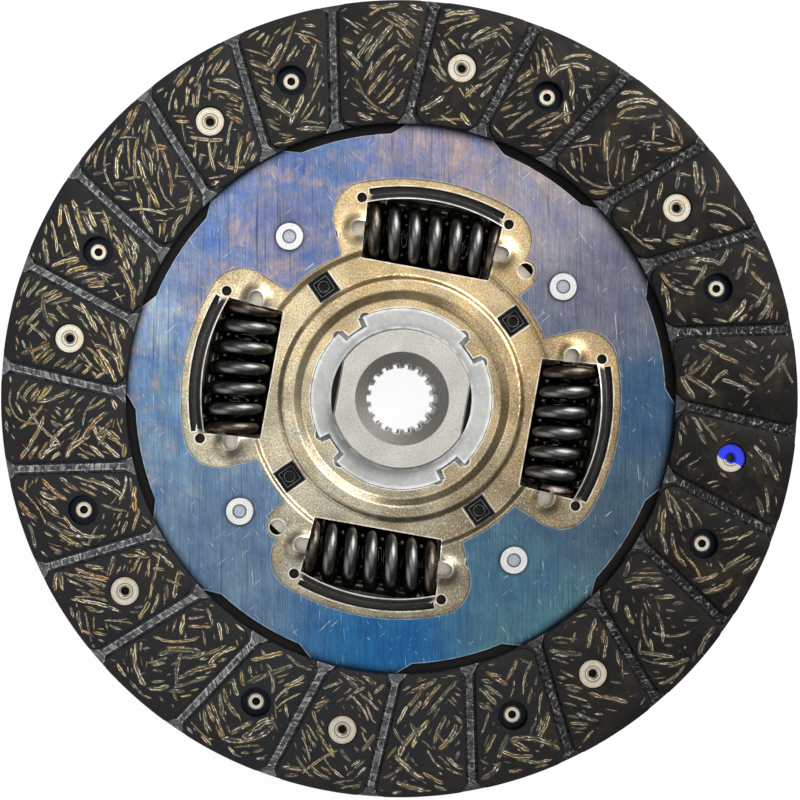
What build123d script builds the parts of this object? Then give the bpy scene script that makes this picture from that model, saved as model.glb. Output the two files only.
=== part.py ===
from build123d import *
from math import asin, cos, degrees, hypot, pi, radians, sin, sqrt, tan
import os

# Dry clutch disc with a spring torsion damper. All sizes in millimetres.
# Frame: origin on the bore axis, in the middle plane of the cushion plate.
# +Z points to the side with the cover plate, away from the flywheel.
# The four spring pockets are centred on the X and Y axes.

# ---------------------------------------------------------------- driving sizes
# Friction facings: two moulded rings, grooved into pads
facing_outer_r = 115.0
facing_inner_r = 79.5
rear_facing_inner_r = 76.0  # the rear ring reaches in under the slots of the cushion plate
facing_t = 3.4
groove_count = 24
groove_w = 3.3
groove_depth = 1.3
groove_offset = 17.1  # the grooves are tangent to a circle of this radius
groove_angle = 11.85  # direction of the first groove
pad_outer_corner = 2.5
pad_inner_corner = 4.0

# Facing rivets: hollow, half of them headed in each facing
rivet_circle_r = 97.0
rivet_pairs = 8
rivet_pair_angle = 15.5  # from a rivet headed in front to one headed behind
rivet_head_d = 8.1
rivet_head_t = 0.9
rivet_shank_d = 4.6
rivet_bore_d = 2.4
rivet_web_t = 0.6  # the rivet is bored from both ends as far as this web
rivet_countersink = 0.5
rivet_curl_d = 5.3  # the rolled end behind the paddle
rivet_curl_chamfer = 0.35
rivet_tail = 1.6  # how far the rivet stands out behind the paddle
rivet_fit = 0.05
head_clearance = 0.25
facing_lip_t = 1.6  # facing left under a rivet head

# Cushion plate: spring steel sheet, its paddles bent into flat lands
cushion_t = 0.7
cushion_wave = 0.45  # how far a land stands off the middle plane
cushion_inner_r = 45.2
cushion_slot_r = 76.9
paddle_gap_angle = 34.0
slot_ramp_angle = 7.0  # by how much each end of a slot leans in
paddle_inner_r = 81.0
paddle_edge_margin = 1.5
paddle_slit_w = 2.6
paddle_front_land = 14.0
paddle_rear_land_start = 15.5
lobe_half_angle = 33.4
lobe_flare = 23.4
lobe_margin = 2.1  # from a lobe to the edge of the plates
lobe_corner_r = 10.0
lobe_step_half_angle = 4.85  # two lobes are wider on one side, round a gauge hole
lobe_step_margin = 0.8

# Cover plate and retaining plate: pressed sheet
plate_t = 2.0
plate_outer_r = 66.0
rim_inner_r = 44.3
dish_depth = 1.2
dish_wall = 1.1
dish_inner_r = 35.9
bend_r = 1.2
ridge_outer_r = 34.6
ridge_inner_r = 31.4
collar_outer_r = 29.0
collar_drop = 1.65
mouth_r = 26.5
tab_inner_r = 23.75
tab_tip_w = 4.6
tab_root_w = 6.6
tab_relief_r = 1.6
gauge_hole_d = 4.5
gauge_hole_inset = 14.2  # from the edge of the plate
gauge_hole_beyond_notch = 5.6
relief_hole_d = 2.9
relief_hole_inset = 6.5
relief_hole_beyond_slot = 1.5
window_flare = 4.3
window_end_gap = 0.2
window_clearance = 0.2  # from a spring to the inner edge of its window in a plate
slot_rim = 4.3  # sheet left between a slot and the edge of the plate
slot_end_margin = 0.1
wing_inset = 8.1
wing_t = 1.8
wing_rise = 2.6
wing_end_margin = 0.6
notch_inset = 19.4  # from the middle of a notch to the edge of the plate
notch_w = 4.2
notch_reach = 3.9
dome_r = 6.4  # the bulge round a notch
dome_rise = 1.5
dome_beyond_window = 1.8
retainer_mouth_r = 21.5
retainer_lip = 3.0  # sheet left between a window and the wing in the retaining plate

# Springs: an outer and an inner coil in each pocket
pocket_count = 4
friction_zone_r = 37.05  # the friction washers lie inside this radius
spring_zone_inset = 8.45  # from the outside of a spring's room to the edge of the plates
spring_length = 37.1
spring_clearance = 0.35
outer_spring_index = 4.4  # coil diameter over wire diameter
outer_turns = 6.0
coil_gap = 0.3  # between the outer coil and the inner one
inner_spring_index = 4.25
inner_turns = 9.0
outer_wire_sides = 8
outer_chords = 12  # chords to a turn
inner_wire_sides = 6
inner_chords = 8

# Splined hub with its flange
spline_teeth = 18
spline_tip_r = 9.0
spline_root_r = 10.15
tooth_tip_w = 1.5
tooth_root_w = 2.0
bore_mouth_r = 13.6
bore_mouth_depth = 2.2
bore_back_chamfer = 1.0
hub_front = 2.5  # height of the front boss over the middle plane
hub_back = 18.5  # depth of the rear boss under the middle plane
boss_r = 20.4
boss_flat = 18.8
boss_chamfer = 0.5
rear_boss_r = 19.0
flange_t = 4.0
flange_inset = 2.0  # from the flange to the edge of the plates

# Stop pins, which also hold the plates together
pin_inset = 8.93  # from the pins to the edge of the plates
pin_count = 4
pin_body_d = 7.5
pin_shank_d = 5.6
pin_head_d = 8.1
pin_head_t = 1.0
pin_head_chamfer = 0.2
pin_dimple_d = 3.8
pin_dimple_depth = 0.35
coast_angle = 8.0
drive_angle = 10.0
stop_clearance = 0.6

# Friction and guide parts
running_gap = 0.1
front_washer_t = 1.3
front_washer_inner_r = 31.9
peg_circle_r = 39.6
peg_w = 6.8
peg_fit = 0.15
peg_base_margin = 0.5
peg_recess_w = 4.5
peg_recess_depth = 0.4
peg_bore_d = 3.1
peg_proud = 0.2
bush_fit = 0.08
bush_ring_r = 23.2
bush_rise = 0.4
bush_collar_r = 31.3
bush_notch_half_angle = 9.2
lug_gap = 0.2
rear_washer_t = 1.2
rear_washer_outer_r = 34.5
rear_washer_gap = 1.0
disc_spring_t = 0.7
disc_spring_outer_r = 34.0
disc_spring_inner_r = 24.5

sketch_overlap = 1.0  # how far a cutting sketch runs past the edge that it meets

# ---------------------------------------------------------------- stack-up
cushion_front = cushion_t / 2
cover_front = -cushion_t / 2
cover_back = cover_front - plate_t
dish_back = cover_back - dish_depth
collar_front = cover_front - collar_drop
collar_back = collar_front - plate_t
flange_front = dish_back - front_washer_t - running_gap
flange_back = flange_front - flange_t
spring_z = (flange_front + flange_back) / 2
plate_to_flange = cover_back - flange_front
retainer_front = flange_back - plate_to_flange
retainer_back = retainer_front - plate_t
facing_back = cushion_t / 2 + cushion_wave
facing_front_z = facing_back + facing_t

# ---------------------------------------------------------------- places in plan
flange_window_inner = friction_zone_r
flange_window_outer = plate_outer_r - spring_zone_inset
spring_axis_r = (flange_window_inner + flange_window_outer) / 2
outer_spring_d = flange_window_outer - flange_window_inner - 2 * spring_clearance
outer_wire_d = outer_spring_d / outer_spring_index
inner_spring_d = outer_spring_d - 2 * outer_wire_d - 2 * coil_gap
inner_wire_d = inner_spring_d / inner_spring_index
spring_r = outer_spring_d / 2
half_length = spring_length / 2 + window_end_gap
plate_level = cover_back - spring_z
window_half_w = sqrt(spring_r**2 - plate_level**2) + window_clearance
window_inner = spring_axis_r - window_half_w
window_outer = spring_axis_r + window_half_w


def end_at(x):
    """Half length of a spring window at a distance from the axis."""
    return half_length + (x - window_inner) * tan(radians(window_flare))


slot_outer_r = plate_outer_r - slot_rim
slot_half_w = end_at(window_outer) + slot_end_margin
slot_half_angle = degrees(asin(slot_half_w / slot_outer_r))
wing_inner_r = plate_outer_r - wing_inset
wing_outer_r = wing_inner_r + wing_t
wing_half_angle = degrees(asin((slot_half_w + wing_end_margin) / wing_outer_r))
relief_hole_r = plate_outer_r - relief_hole_inset
relief_hole_angle = degrees(asin((slot_half_w + relief_hole_beyond_slot) / relief_hole_r))
notch_r = plate_outer_r - notch_inset
notch_end = end_at(notch_r) + notch_reach
gauge_hole_r = plate_outer_r - gauge_hole_inset
gauge_hole_angle = degrees(asin((notch_end + gauge_hole_beyond_notch) / gauge_hole_r))
lobe_outer_r = plate_outer_r - lobe_margin
flange_r = plate_outer_r - flange_inset
pin_circle_r = plate_outer_r - pin_inset
pin_angle = 180 / pin_count
peg_hole_w = peg_w + 2 * peg_fit
peg_base_w = peg_hole_w + 2 * peg_base_margin


def polar(radius, angle):
    """The point at a radius and an angle in degrees."""
    return (radius * cos(radians(angle)), radius * sin(radians(angle)))


# ---------------------------------------------------------------- shared profiles
# The window that a spring lies in, for the pocket on +X, with its slot and its notches
def plate_window(outer, slot_inner):
    """The window as a sketch: its outer edge, and the inner radius of the slot."""
    with BuildSketch(mode=Mode.PRIVATE) as window:
        with BuildLine():
            Polyline(
                (window_inner, -end_at(window_inner)),
                (outer, -end_at(outer)),
                (outer, end_at(outer)),
                (window_inner, end_at(window_inner)),
                close=True,
            )
        make_face()
        with BuildLine():
            slot_out = CenterArc((0, 0), slot_outer_r, -slot_half_angle, 2 * slot_half_angle)
            slot_in = CenterArc((0, 0), slot_inner, -slot_half_angle, 2 * slot_half_angle)
            Line(slot_out @ 0, slot_in @ 0)
            Line(slot_out @ 1, slot_in @ 1)
        make_face()
        notch_centre = notch_end - notch_w / 2
        for side in (-1, 1):
            with Locations((notch_r, side * notch_centre)):
                Circle(notch_w / 2)
            with Locations((notch_r, side * notch_centre / 2)):
                Rectangle(notch_w, notch_centre)
    return window.sketch


# The same window in the hub flange, as wide as the whole spring
with BuildSketch() as flange_window:
    with BuildLine():
        Polyline(
            (flange_window_inner, -end_at(flange_window_inner)),
            (flange_window_outer, -end_at(flange_window_outer)),
            (flange_window_outer, end_at(flange_window_outer)),
            (flange_window_inner, end_at(flange_window_inner)),
            close=True,
        )
    make_face()

# The wing that keeps a spring in: a strip on edge, arched along its length
with BuildPart() as wing:
    with BuildSketch(Plane.XY.offset(cover_back)):
        with BuildLine():
            wing_out = CenterArc((0, 0), wing_outer_r, -wing_half_angle, 2 * wing_half_angle)
            wing_in = CenterArc((0, 0), wing_inner_r, -wing_half_angle, 2 * wing_half_angle)
            Line(wing_out @ 0, wing_in @ 0)
            Line(wing_out @ 1, wing_in @ 1)
        make_face()
    extrude(amount=plate_t + wing_rise)
    wing_end_y = polar(wing_outer_r, wing_half_angle)[1]
    with BuildSketch(Plane.YZ):
        with BuildLine():
            Polyline(
                (-wing_end_y, cover_front),
                (-wing_end_y, cover_back),
                (wing_end_y, cover_back),
                (wing_end_y, cover_front),
            )
            ThreePointArc((wing_end_y, cover_front), (0, cover_front + wing_rise), (-wing_end_y, cover_front))
        make_face()
    extrude(amount=plate_outer_r, mode=Mode.INTERSECT)

# The room of a spring, which the sheet follows along its edges
with BuildPart() as spring_room:
    with BuildSketch(Plane.XZ.offset(-half_length)):
        with Locations((spring_axis_r, spring_z)):
            Circle(spring_r + window_clearance)
    extrude(amount=2 * half_length)

# The bulge pressed up round a notch: a low dome that runs out flat at its foot
with BuildPart() as dome:
    with BuildSketch(Plane.XZ):
        with BuildLine():
            crown = TangentArc((0, dome_rise), (dome_r / 2, dome_rise / 2), tangent=(1, 0))
            foot_arc = TangentArc(crown @ 1, (dome_r, 0), tangent=crown % 1)
            Polyline(foot_arc @ 1, (0, 0), (0, dome_rise))
        make_face()
    revolve(axis=Axis.Z)

# ---------------------------------------------------------------- facings
with BuildSketch() as groove:
    with PolarLocations(0, groove_count, groove_angle):
        with Locations(((facing_inner_r + facing_outer_r) / 2, groove_offset)):
            Rectangle(facing_outer_r, groove_w)


def make_facing(inner_r):
    """A facing on the front side, from its inner radius."""
    with BuildSketch(mode=Mode.PRIVATE) as pads:
        Circle(facing_outer_r)
        Circle(inner_r, mode=Mode.SUBTRACT)
        add(groove.sketch, mode=Mode.SUBTRACT)
        mid_r = (facing_inner_r + facing_outer_r) / 2
        fillet([v for v in pads.vertices() if hypot(v.X, v.Y) < mid_r], radius=pad_inner_corner)
        fillet([v for v in pads.vertices() if hypot(v.X, v.Y) > mid_r], radius=pad_outer_corner)
    with BuildPart(mode=Mode.PRIVATE) as facing:
        with BuildSketch(Plane.XY.offset(facing_back)):
            Circle(facing_outer_r)
            Circle(inner_r, mode=Mode.SUBTRACT)
        extrude(amount=facing_t - groove_depth)
        with BuildSketch(Plane.XY.offset(facing_front_z - groove_depth)):
            add(pads.sketch)
        extrude(amount=groove_depth)
        with BuildSketch(Plane.XY.offset(facing_back)):
            with PolarLocations(rivet_circle_r, rivet_pairs):
                Circle(rivet_shank_d / 2 + rivet_fit)
            with PolarLocations(rivet_circle_r, rivet_pairs, -rivet_pair_angle):
                Circle(rivet_head_d / 2 + head_clearance)
        extrude(amount=facing_t, mode=Mode.SUBTRACT)
        with BuildSketch(Plane.XY.offset(facing_back + facing_lip_t)):
            with PolarLocations(rivet_circle_r, rivet_pairs):
                Circle(rivet_head_d / 2 + head_clearance)
        extrude(amount=facing_t, mode=Mode.SUBTRACT)
    return facing.part


with BuildPart() as facing_front:
    add(make_facing(facing_inner_r))

# The rear facing is turned over about the X axis and clocked by the angle between the
# two rivets of a pair
with BuildPart() as facing_rear:
    add(make_facing(rear_facing_inner_r).rotate(Axis.X, 180).rotate(Axis.Z, -rivet_pair_angle))

# ---------------------------------------------------------------- facing rivets
with BuildPart() as facing_rivets_front:
    head_front = facing_back + facing_lip_t + rivet_head_t
    tail_end = cushion_wave - cushion_t / 2 - rivet_tail
    with BuildSketch(Plane.XY.offset(tail_end)):
        with PolarLocations(rivet_circle_r, rivet_pairs):
            Circle(rivet_shank_d / 2)
    extrude(amount=head_front - tail_end)
    with BuildSketch(Plane.XY.offset(facing_back + facing_lip_t)):
        with PolarLocations(rivet_circle_r, rivet_pairs):
            Circle(rivet_head_d / 2)
    extrude(amount=rivet_head_t)
    with BuildSketch(Plane.XY.offset(tail_end)):
        with PolarLocations(rivet_circle_r, rivet_pairs):
            Circle(rivet_curl_d / 2)
    extrude(amount=rivet_tail)
    curl_edges = facing_rivets_front.edges().filter_by(GeomType.CIRCLE).group_by(Axis.Z)[0]
    chamfer(curl_edges, length=rivet_curl_chamfer)
    web_back = cushion_wave - rivet_web_t / 2
    web_front = web_back + rivet_web_t
    for mouth, bottom in ((tail_end, web_back), (head_front, web_front)):
        with BuildSketch(Plane.XY.offset(mouth)):
            with PolarLocations(rivet_circle_r, rivet_pairs):
                Circle(rivet_bore_d / 2)
        extrude(amount=bottom - mouth, mode=Mode.SUBTRACT)
    bore_edges = facing_rivets_front.edges().filter_by(GeomType.CIRCLE).group_by(Axis.Z)[-1]
    mouths = [edge for edge in bore_edges if edge.radius < rivet_shank_d / 2]
    chamfer(mouths, length=rivet_countersink)

with BuildPart() as facing_rivets_rear:
    add(facing_rivets_front.part.rotate(Axis.X, 180).rotate(Axis.Z, -rivet_pair_angle))

# ---------------------------------------------------------------- cushion plate
paddle_outer_r = facing_outer_r - paddle_edge_margin
paddle_half_angle = 180 / rivet_pairs
rear_land_end = paddle_outer_r * sin(radians(paddle_half_angle))

with BuildPart() as paddle:
    with BuildSketch(Plane.YZ):
        with BuildLine():
            wave = [
                (-rear_land_end, -cushion_wave),
                (-paddle_rear_land_start, -cushion_wave),
                (-paddle_front_land / 2, cushion_wave),
                (paddle_front_land / 2, cushion_wave),
                (paddle_rear_land_start, -cushion_wave),
                (rear_land_end, -cushion_wave),
            ]
            upper = [(y, z + cushion_t / 2) for y, z in wave]
            lower = [(y, z - cushion_t / 2) for y, z in reversed(wave)]
            Polyline(*upper, *lower, close=True)
        make_face()
    extrude(amount=paddle_outer_r)
    with BuildSketch(Plane.XY.offset(-facing_back)):
        with BuildLine():
            rim = CenterArc((0, 0), paddle_outer_r, -paddle_half_angle, 2 * paddle_half_angle)
            Line(rim @ 0, (0, 0))
            Line(rim @ 1, (0, 0))
        make_face()
        Circle(paddle_inner_r, mode=Mode.SUBTRACT)
        for side in (-1, 1):
            with Locations(Location((0, 0, 0), side * paddle_half_angle)):
                with Locations((paddle_outer_r / 2, 0)):
                    Rectangle(paddle_outer_r, paddle_slit_w, mode=Mode.SUBTRACT)
    extrude(amount=2 * facing_back, mode=Mode.INTERSECT)

with BuildSketch() as lobe:
    side_angle = lobe_half_angle + lobe_flare
    foot = polar(cushion_inner_r - sketch_overlap, lobe_half_angle)
    reach = 2 * (lobe_outer_r - cushion_inner_r)
    top = (foot[0] + reach * cos(radians(lobe_flare)), foot[1] + reach * sin(radians(lobe_flare)))
    with BuildLine():
        Polyline((0, 0), foot, top, (top[0], -top[1]), (foot[0], -foot[1]), close=True)
    make_face()
    Circle(lobe_outer_r, mode=Mode.INTERSECT)
    fillet(lobe.vertices().group_by(Axis.X)[-1], radius=lobe_corner_r)

with BuildSketch() as lobe_step:
    step_start = -gauge_hole_angle - lobe_step_half_angle
    with BuildLine():
        step_out = CenterArc((0, 0), gauge_hole_r, step_start, 2 * lobe_step_half_angle)
        Line(step_out @ 0, (0, 0))
        Line(step_out @ 1, (0, 0))
    make_face()
    with Locations(polar(gauge_hole_r, -gauge_hole_angle)):
        Circle(gauge_hole_d / 2 + lobe_step_margin)

with BuildSketch() as cushion_slot:
    with BuildLine():
        gap = paddle_gap_angle / 2
        foot_gap = gap - slot_ramp_angle
        gap_out = CenterArc((0, 0), paddle_inner_r + 2 * sketch_overlap, -gap, 2 * gap)
        gap_in = CenterArc((0, 0), cushion_slot_r, -foot_gap, 2 * foot_gap)
        Line(gap_out @ 0, gap_in @ 0)
        Line(gap_out @ 1, gap_in @ 1)
    make_face()

with BuildPart() as cushion_plate:
    with BuildSketch(Plane.XY.offset(-cushion_t / 2)):
        Circle(paddle_inner_r + sketch_overlap)
        Circle(cushion_inner_r, mode=Mode.SUBTRACT)
        with PolarLocations(0, pocket_count):
            add(lobe.sketch, mode=Mode.SUBTRACT)
        with Locations(Location((0, 0, 0), 90), Location((0, 0, 0), 270)):
            add(lobe_step.sketch, mode=Mode.SUBTRACT)
        with PolarLocations(pin_circle_r, pin_count, pin_angle):
            Circle(pin_shank_d / 2 + rivet_fit, mode=Mode.SUBTRACT)
    extrude(amount=cushion_t)
    with BuildSketch(Plane.XY.offset(-cushion_t / 2)):
        with PolarLocations(0, rivet_pairs, paddle_half_angle):
            add(cushion_slot.sketch)
    extrude(amount=cushion_t, mode=Mode.SUBTRACT)
    with PolarLocations(0, rivet_pairs):
        add(paddle.part)
    with BuildSketch(Plane.XY.offset(-facing_back)):
        with PolarLocations(rivet_circle_r, rivet_pairs):
            Circle(rivet_shank_d / 2 + rivet_fit)
        with PolarLocations(rivet_circle_r, rivet_pairs, -rivet_pair_angle):
            Circle(rivet_shank_d / 2 + rivet_fit)
    extrude(amount=2 * facing_back, mode=Mode.SUBTRACT)

# ---------------------------------------------------------------- cover plate
with BuildSketch() as tab:
    with BuildLine():
        Polyline(
            (tab_inner_r, -tab_tip_w / 2),
            (mouth_r + tab_relief_r, -tab_root_w / 2),
            (mouth_r + tab_relief_r, tab_root_w / 2),
            (tab_inner_r, tab_tip_w / 2),
            close=True,
        )
    make_face()

with BuildSketch() as cover_mouth:
    Circle(mouth_r)
    for side in (-1, 1):
        relief_angle = side * degrees((tab_root_w / 2 + tab_relief_r) / mouth_r)
        with PolarLocations(mouth_r - tab_relief_r / 2, pin_count, pin_angle + relief_angle):
            Circle(tab_relief_r)
    with PolarLocations(0, pin_count, pin_angle):
        add(tab.sketch, mode=Mode.SUBTRACT)

with BuildPart() as cover_plate:
    with BuildSketch(Plane.XZ) as pressing:
        with BuildLine():
            skin = [
                (plate_outer_r, cover_front),
                (rim_inner_r, cover_front),
                (rim_inner_r - dish_wall, cover_front - dish_depth),
                (dish_inner_r, cover_front - dish_depth),
                (ridge_outer_r, cover_front),
                (ridge_inner_r, cover_front),
                (collar_outer_r, collar_front),
                (tab_inner_r, collar_front),
            ]
            back = [(x, z - plate_t) for x, z in reversed(skin)]
            Polyline(*skin, *back, close=True)
        make_face()
        bends = [v for v in pressing.vertices() if tab_inner_r < v.X - bend_r < v.X + bend_r < plate_outer_r]
        fillet(bends, radius=bend_r)
    revolve(axis=Axis.Z)
    dome_centre = end_at(notch_r) + dome_beyond_window
    for side in (-1, 1):
        with PolarLocations(0, pocket_count):
            with Locations((notch_r, side * dome_centre, cover_front)):
                add(dome.part)
            with Locations((notch_r, side * dome_centre, cover_back)):
                add(dome.part, mode=Mode.SUBTRACT)
    with BuildSketch(Plane.XY.offset(dish_back)):
        with PolarLocations(0, pocket_count):
            add(plate_window(window_outer, window_outer))
        with PolarLocations(peg_circle_r, pin_count, pin_angle):
            Rectangle(peg_hole_w, peg_hole_w)
        with PolarLocations(pin_circle_r, pin_count, pin_angle):
            Circle(pin_shank_d / 2 + rivet_fit)
        for pocket in (90, 270):
            for side in (-1, 1):
                with Locations(polar(gauge_hole_r, pocket + side * gauge_hole_angle)):
                    Circle(gauge_hole_d / 2)
    extrude(amount=dish_depth + plate_t + dome_rise, mode=Mode.SUBTRACT)
    with BuildSketch(Plane.XY.offset(collar_back)):
        add(cover_mouth.sketch)
    extrude(amount=plate_t, mode=Mode.SUBTRACT)
    with PolarLocations(0, pocket_count):
        add(wing.part)
        add(spring_room.part, mode=Mode.SUBTRACT)
    with BuildSketch(Plane.XY.offset(cover_back)):
        for side in (-1, 1):
            with PolarLocations(relief_hole_r, pocket_count, side * relief_hole_angle):
                Circle(relief_hole_d / 2)
    extrude(amount=plate_t + wing_rise, mode=Mode.SUBTRACT)

# ---------------------------------------------------------------- retaining plate
with BuildPart() as retaining_plate:
    with BuildSketch(Plane.XY.offset(retainer_back)):
        Circle(plate_outer_r)
        Circle(retainer_mouth_r, mode=Mode.SUBTRACT)
        with PolarLocations(0, pocket_count):
            add(plate_window(wing_inner_r - retainer_lip, wing_inner_r), mode=Mode.SUBTRACT)
        with PolarLocations(pin_circle_r, pin_count, pin_angle):
            Circle(pin_shank_d / 2 + rivet_fit, mode=Mode.SUBTRACT)
    extrude(amount=plate_t)
    turned_wing = wing.part.rotate(Axis.X, 180)
    with PolarLocations(0, pocket_count):
        add(turned_wing.translate((0, 0, retainer_front + cover_back)))
        add(spring_room.part, mode=Mode.SUBTRACT)

# ---------------------------------------------------------------- hub
with BuildSketch() as tooth:
    with BuildLine():
        tooth_slope = (tooth_root_w - tooth_tip_w) / 2 / (spline_root_r - spline_tip_r)
        inner_w = tooth_tip_w / 2 - tooth_slope * sketch_overlap
        outer_w = tooth_root_w / 2 + tooth_slope * sketch_overlap
        Polyline(
            (spline_tip_r - sketch_overlap, -inner_w),
            (spline_root_r + sketch_overlap, -outer_w),
            (spline_root_r + sketch_overlap, outer_w),
            (spline_tip_r - sketch_overlap, inner_w),
            close=True,
        )
    make_face()

with BuildSketch() as spline_bore:
    Circle(spline_root_r)
    with PolarLocations(0, spline_teeth):
        add(tooth.sketch, mode=Mode.SUBTRACT)
    Circle(spline_tip_r)

with BuildSketch() as pin_notch:
    with BuildLine():
        notch_inner_r = pin_circle_r - pin_body_d / 2 - stop_clearance
        pin_half = degrees(asin((pin_body_d / 2 + stop_clearance) / pin_circle_r))
        start = -coast_angle - pin_half
        sweep_angle = coast_angle + drive_angle + 2 * pin_half
        notch_out = CenterArc((0, 0), flange_r + sketch_overlap, start, sweep_angle)
        notch_in = CenterArc((0, 0), notch_inner_r, start, sweep_angle)
        Line(notch_out @ 0, notch_in @ 0)
        Line(notch_out @ 1, notch_in @ 1)
    make_face()

with BuildPart() as hub:
    with BuildSketch(Plane.XY.offset(flange_back)):
        Circle(flange_r)
        with PolarLocations(0, pocket_count):
            add(flange_window.sketch, mode=Mode.SUBTRACT)
        with PolarLocations(0, pin_count, pin_angle):
            add(pin_notch.sketch, mode=Mode.SUBTRACT)
    extrude(amount=flange_t)
    with BuildSketch(Plane.XY.offset(flange_front)):
        Circle(boss_r)
        Rectangle(2 * boss_flat, 2 * boss_r, mode=Mode.INTERSECT)
    extrude(amount=hub_front - flange_front)
    chamfer(hub.faces().sort_by(Axis.Z)[-1].edges(), length=boss_chamfer)
    with BuildSketch(Plane.XY.offset(-hub_back)):
        Circle(rear_boss_r)
    extrude(amount=hub_back + flange_back)
    chamfer(hub.faces().sort_by(Axis.Z)[0].edges(), length=boss_chamfer)
    with BuildSketch(Plane.XY.offset(-hub_back)):
        add(spline_bore.sketch)
    extrude(amount=hub_back + hub_front, mode=Mode.SUBTRACT)
    with BuildSketch(Plane.XZ):
        with BuildLine():
            Polyline(
                (0, hub_front),
                (bore_mouth_r, hub_front),
                (spline_tip_r, hub_front - bore_mouth_depth),
                (0, hub_front - bore_mouth_depth),
                close=True,
            )
        make_face()
        with BuildLine():
            Polyline(
                (0, -hub_back),
                (spline_root_r + bore_back_chamfer, -hub_back),
                (spline_tip_r, -hub_back + bore_back_chamfer),
                (0, -hub_back + bore_back_chamfer),
                close=True,
            )
        make_face()
    revolve(axis=Axis.Z, mode=Mode.SUBTRACT)

# ---------------------------------------------------------------- stop pins
with BuildPart() as stop_pins:
    front_end = cushion_front + pin_head_t
    rear_end = retainer_back - pin_head_t
    with BuildSketch(Plane.XY.offset(rear_end)):
        with PolarLocations(pin_circle_r, pin_count, pin_angle):
            Circle(pin_shank_d / 2)
    extrude(amount=front_end - rear_end)
    with BuildSketch(Plane.XY.offset(retainer_front)):
        with PolarLocations(pin_circle_r, pin_count, pin_angle):
            Circle(pin_body_d / 2)
    extrude(amount=cover_back - retainer_front)
    for z in (cushion_front, rear_end):
        with BuildSketch(Plane.XY.offset(z)):
            with PolarLocations(pin_circle_r, pin_count, pin_angle):
                Circle(pin_head_d / 2)
        extrude(amount=pin_head_t)
    head_edges = stop_pins.edges().filter_by(GeomType.CIRCLE).group_by(Axis.Z)
    chamfer(head_edges[0] + head_edges[-1], length=pin_head_chamfer)
    with BuildSketch(Plane.XY.offset(front_end - pin_dimple_depth)):
        with PolarLocations(pin_circle_r, pin_count, pin_angle):
            Circle(pin_dimple_d / 2)
    extrude(amount=pin_dimple_depth, mode=Mode.SUBTRACT)

# ---------------------------------------------------------------- guide bush
with BuildPart() as guide_bush:
    bush_front = collar_front + bush_rise
    bush_back = flange_front + running_gap
    lug_r = mouth_r - lug_gap
    with BuildSketch(Plane.XY.offset(bush_back)):
        Circle(bush_collar_r)
        Circle(boss_r + bush_fit, mode=Mode.SUBTRACT)
    extrude(amount=collar_back - bush_back)
    with BuildSketch(Plane.XY.offset(collar_back)):
        Circle(lug_r)
        with BuildLine():
            notch_arc_r = lug_r + sketch_overlap
            notch_arc = CenterArc((0, 0), notch_arc_r, -bush_notch_half_angle, 2 * bush_notch_half_angle)
            Line(notch_arc @ 0, (0, 0))
            Line(notch_arc @ 1, (0, 0))
        bush_notch = make_face(mode=Mode.PRIVATE)
        with PolarLocations(0, pin_count, pin_angle):
            add(bush_notch, mode=Mode.SUBTRACT)
        Circle(bush_ring_r)
        Circle(boss_r + bush_fit, mode=Mode.SUBTRACT)
    extrude(amount=bush_front - collar_back)

# ---------------------------------------------------------------- friction washers
with BuildPart() as front_friction_washer:
    washer_back = flange_front + running_gap
    washer_outer_r = flange_window_inner
    peg_front = cover_front - dish_depth + peg_proud
    with BuildSketch(Plane.XY.offset(washer_back)):
        with PolarLocations(peg_circle_r, pin_count, pin_angle):
            Rectangle(peg_base_w, peg_base_w)
        Circle(washer_outer_r)
        Circle(front_washer_inner_r, mode=Mode.SUBTRACT)
    extrude(amount=front_washer_t)
    with BuildSketch(Plane.XY.offset(dish_back)):
        with PolarLocations(peg_circle_r, pin_count, pin_angle):
            Rectangle(peg_w, peg_w)
    extrude(amount=peg_front - dish_back)
    with BuildSketch(Plane.XY.offset(peg_front - peg_recess_depth)):
        with PolarLocations(peg_circle_r, pin_count, pin_angle):
            Rectangle(peg_recess_w, peg_recess_w)
    extrude(amount=peg_recess_depth, mode=Mode.SUBTRACT)
    with BuildSketch(Plane.XY.offset(washer_back)):
        with PolarLocations(peg_circle_r, pin_count, pin_angle):
            Circle(peg_bore_d / 2)
    extrude(amount=peg_front - washer_back, mode=Mode.SUBTRACT)

with BuildPart() as rear_friction_washer:
    rear_washer_front = flange_back - running_gap
    with BuildSketch(Plane.XY.offset(rear_washer_front - rear_washer_t)):
        Circle(rear_washer_outer_r)
        Circle(rear_boss_r + rear_washer_gap, mode=Mode.SUBTRACT)
    extrude(amount=rear_washer_t)

# The disc spring leans from the washer's outer edge to the retaining plate's inner edge
with BuildPart() as disc_spring:
    cone_front = rear_washer_front - rear_washer_t
    cone_back = retainer_front
    with BuildSketch(Plane.XZ):
        with BuildLine():
            Polyline(
                (disc_spring_outer_r, cone_front),
                (disc_spring_outer_r, cone_front - disc_spring_t),
                (disc_spring_inner_r, cone_back),
                (disc_spring_inner_r, cone_back + disc_spring_t),
                close=True,
            )
        make_face()
    revolve(axis=Axis.Z)


# ---------------------------------------------------------------- springs
def coil_path(mean_d, turns, chords, hand):
    """Points along a coil on +Z, centred on the origin, in short chords."""
    pitch = spring_length / turns
    count = round(turns * chords)
    return [
        (
            mean_d / 2 * cos(2 * pi * i / chords),
            hand * mean_d / 2 * sin(2 * pi * i / chords),
            pitch * (i / chords - turns / 2),
        )
        for i in range(count + 1)
    ]


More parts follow.
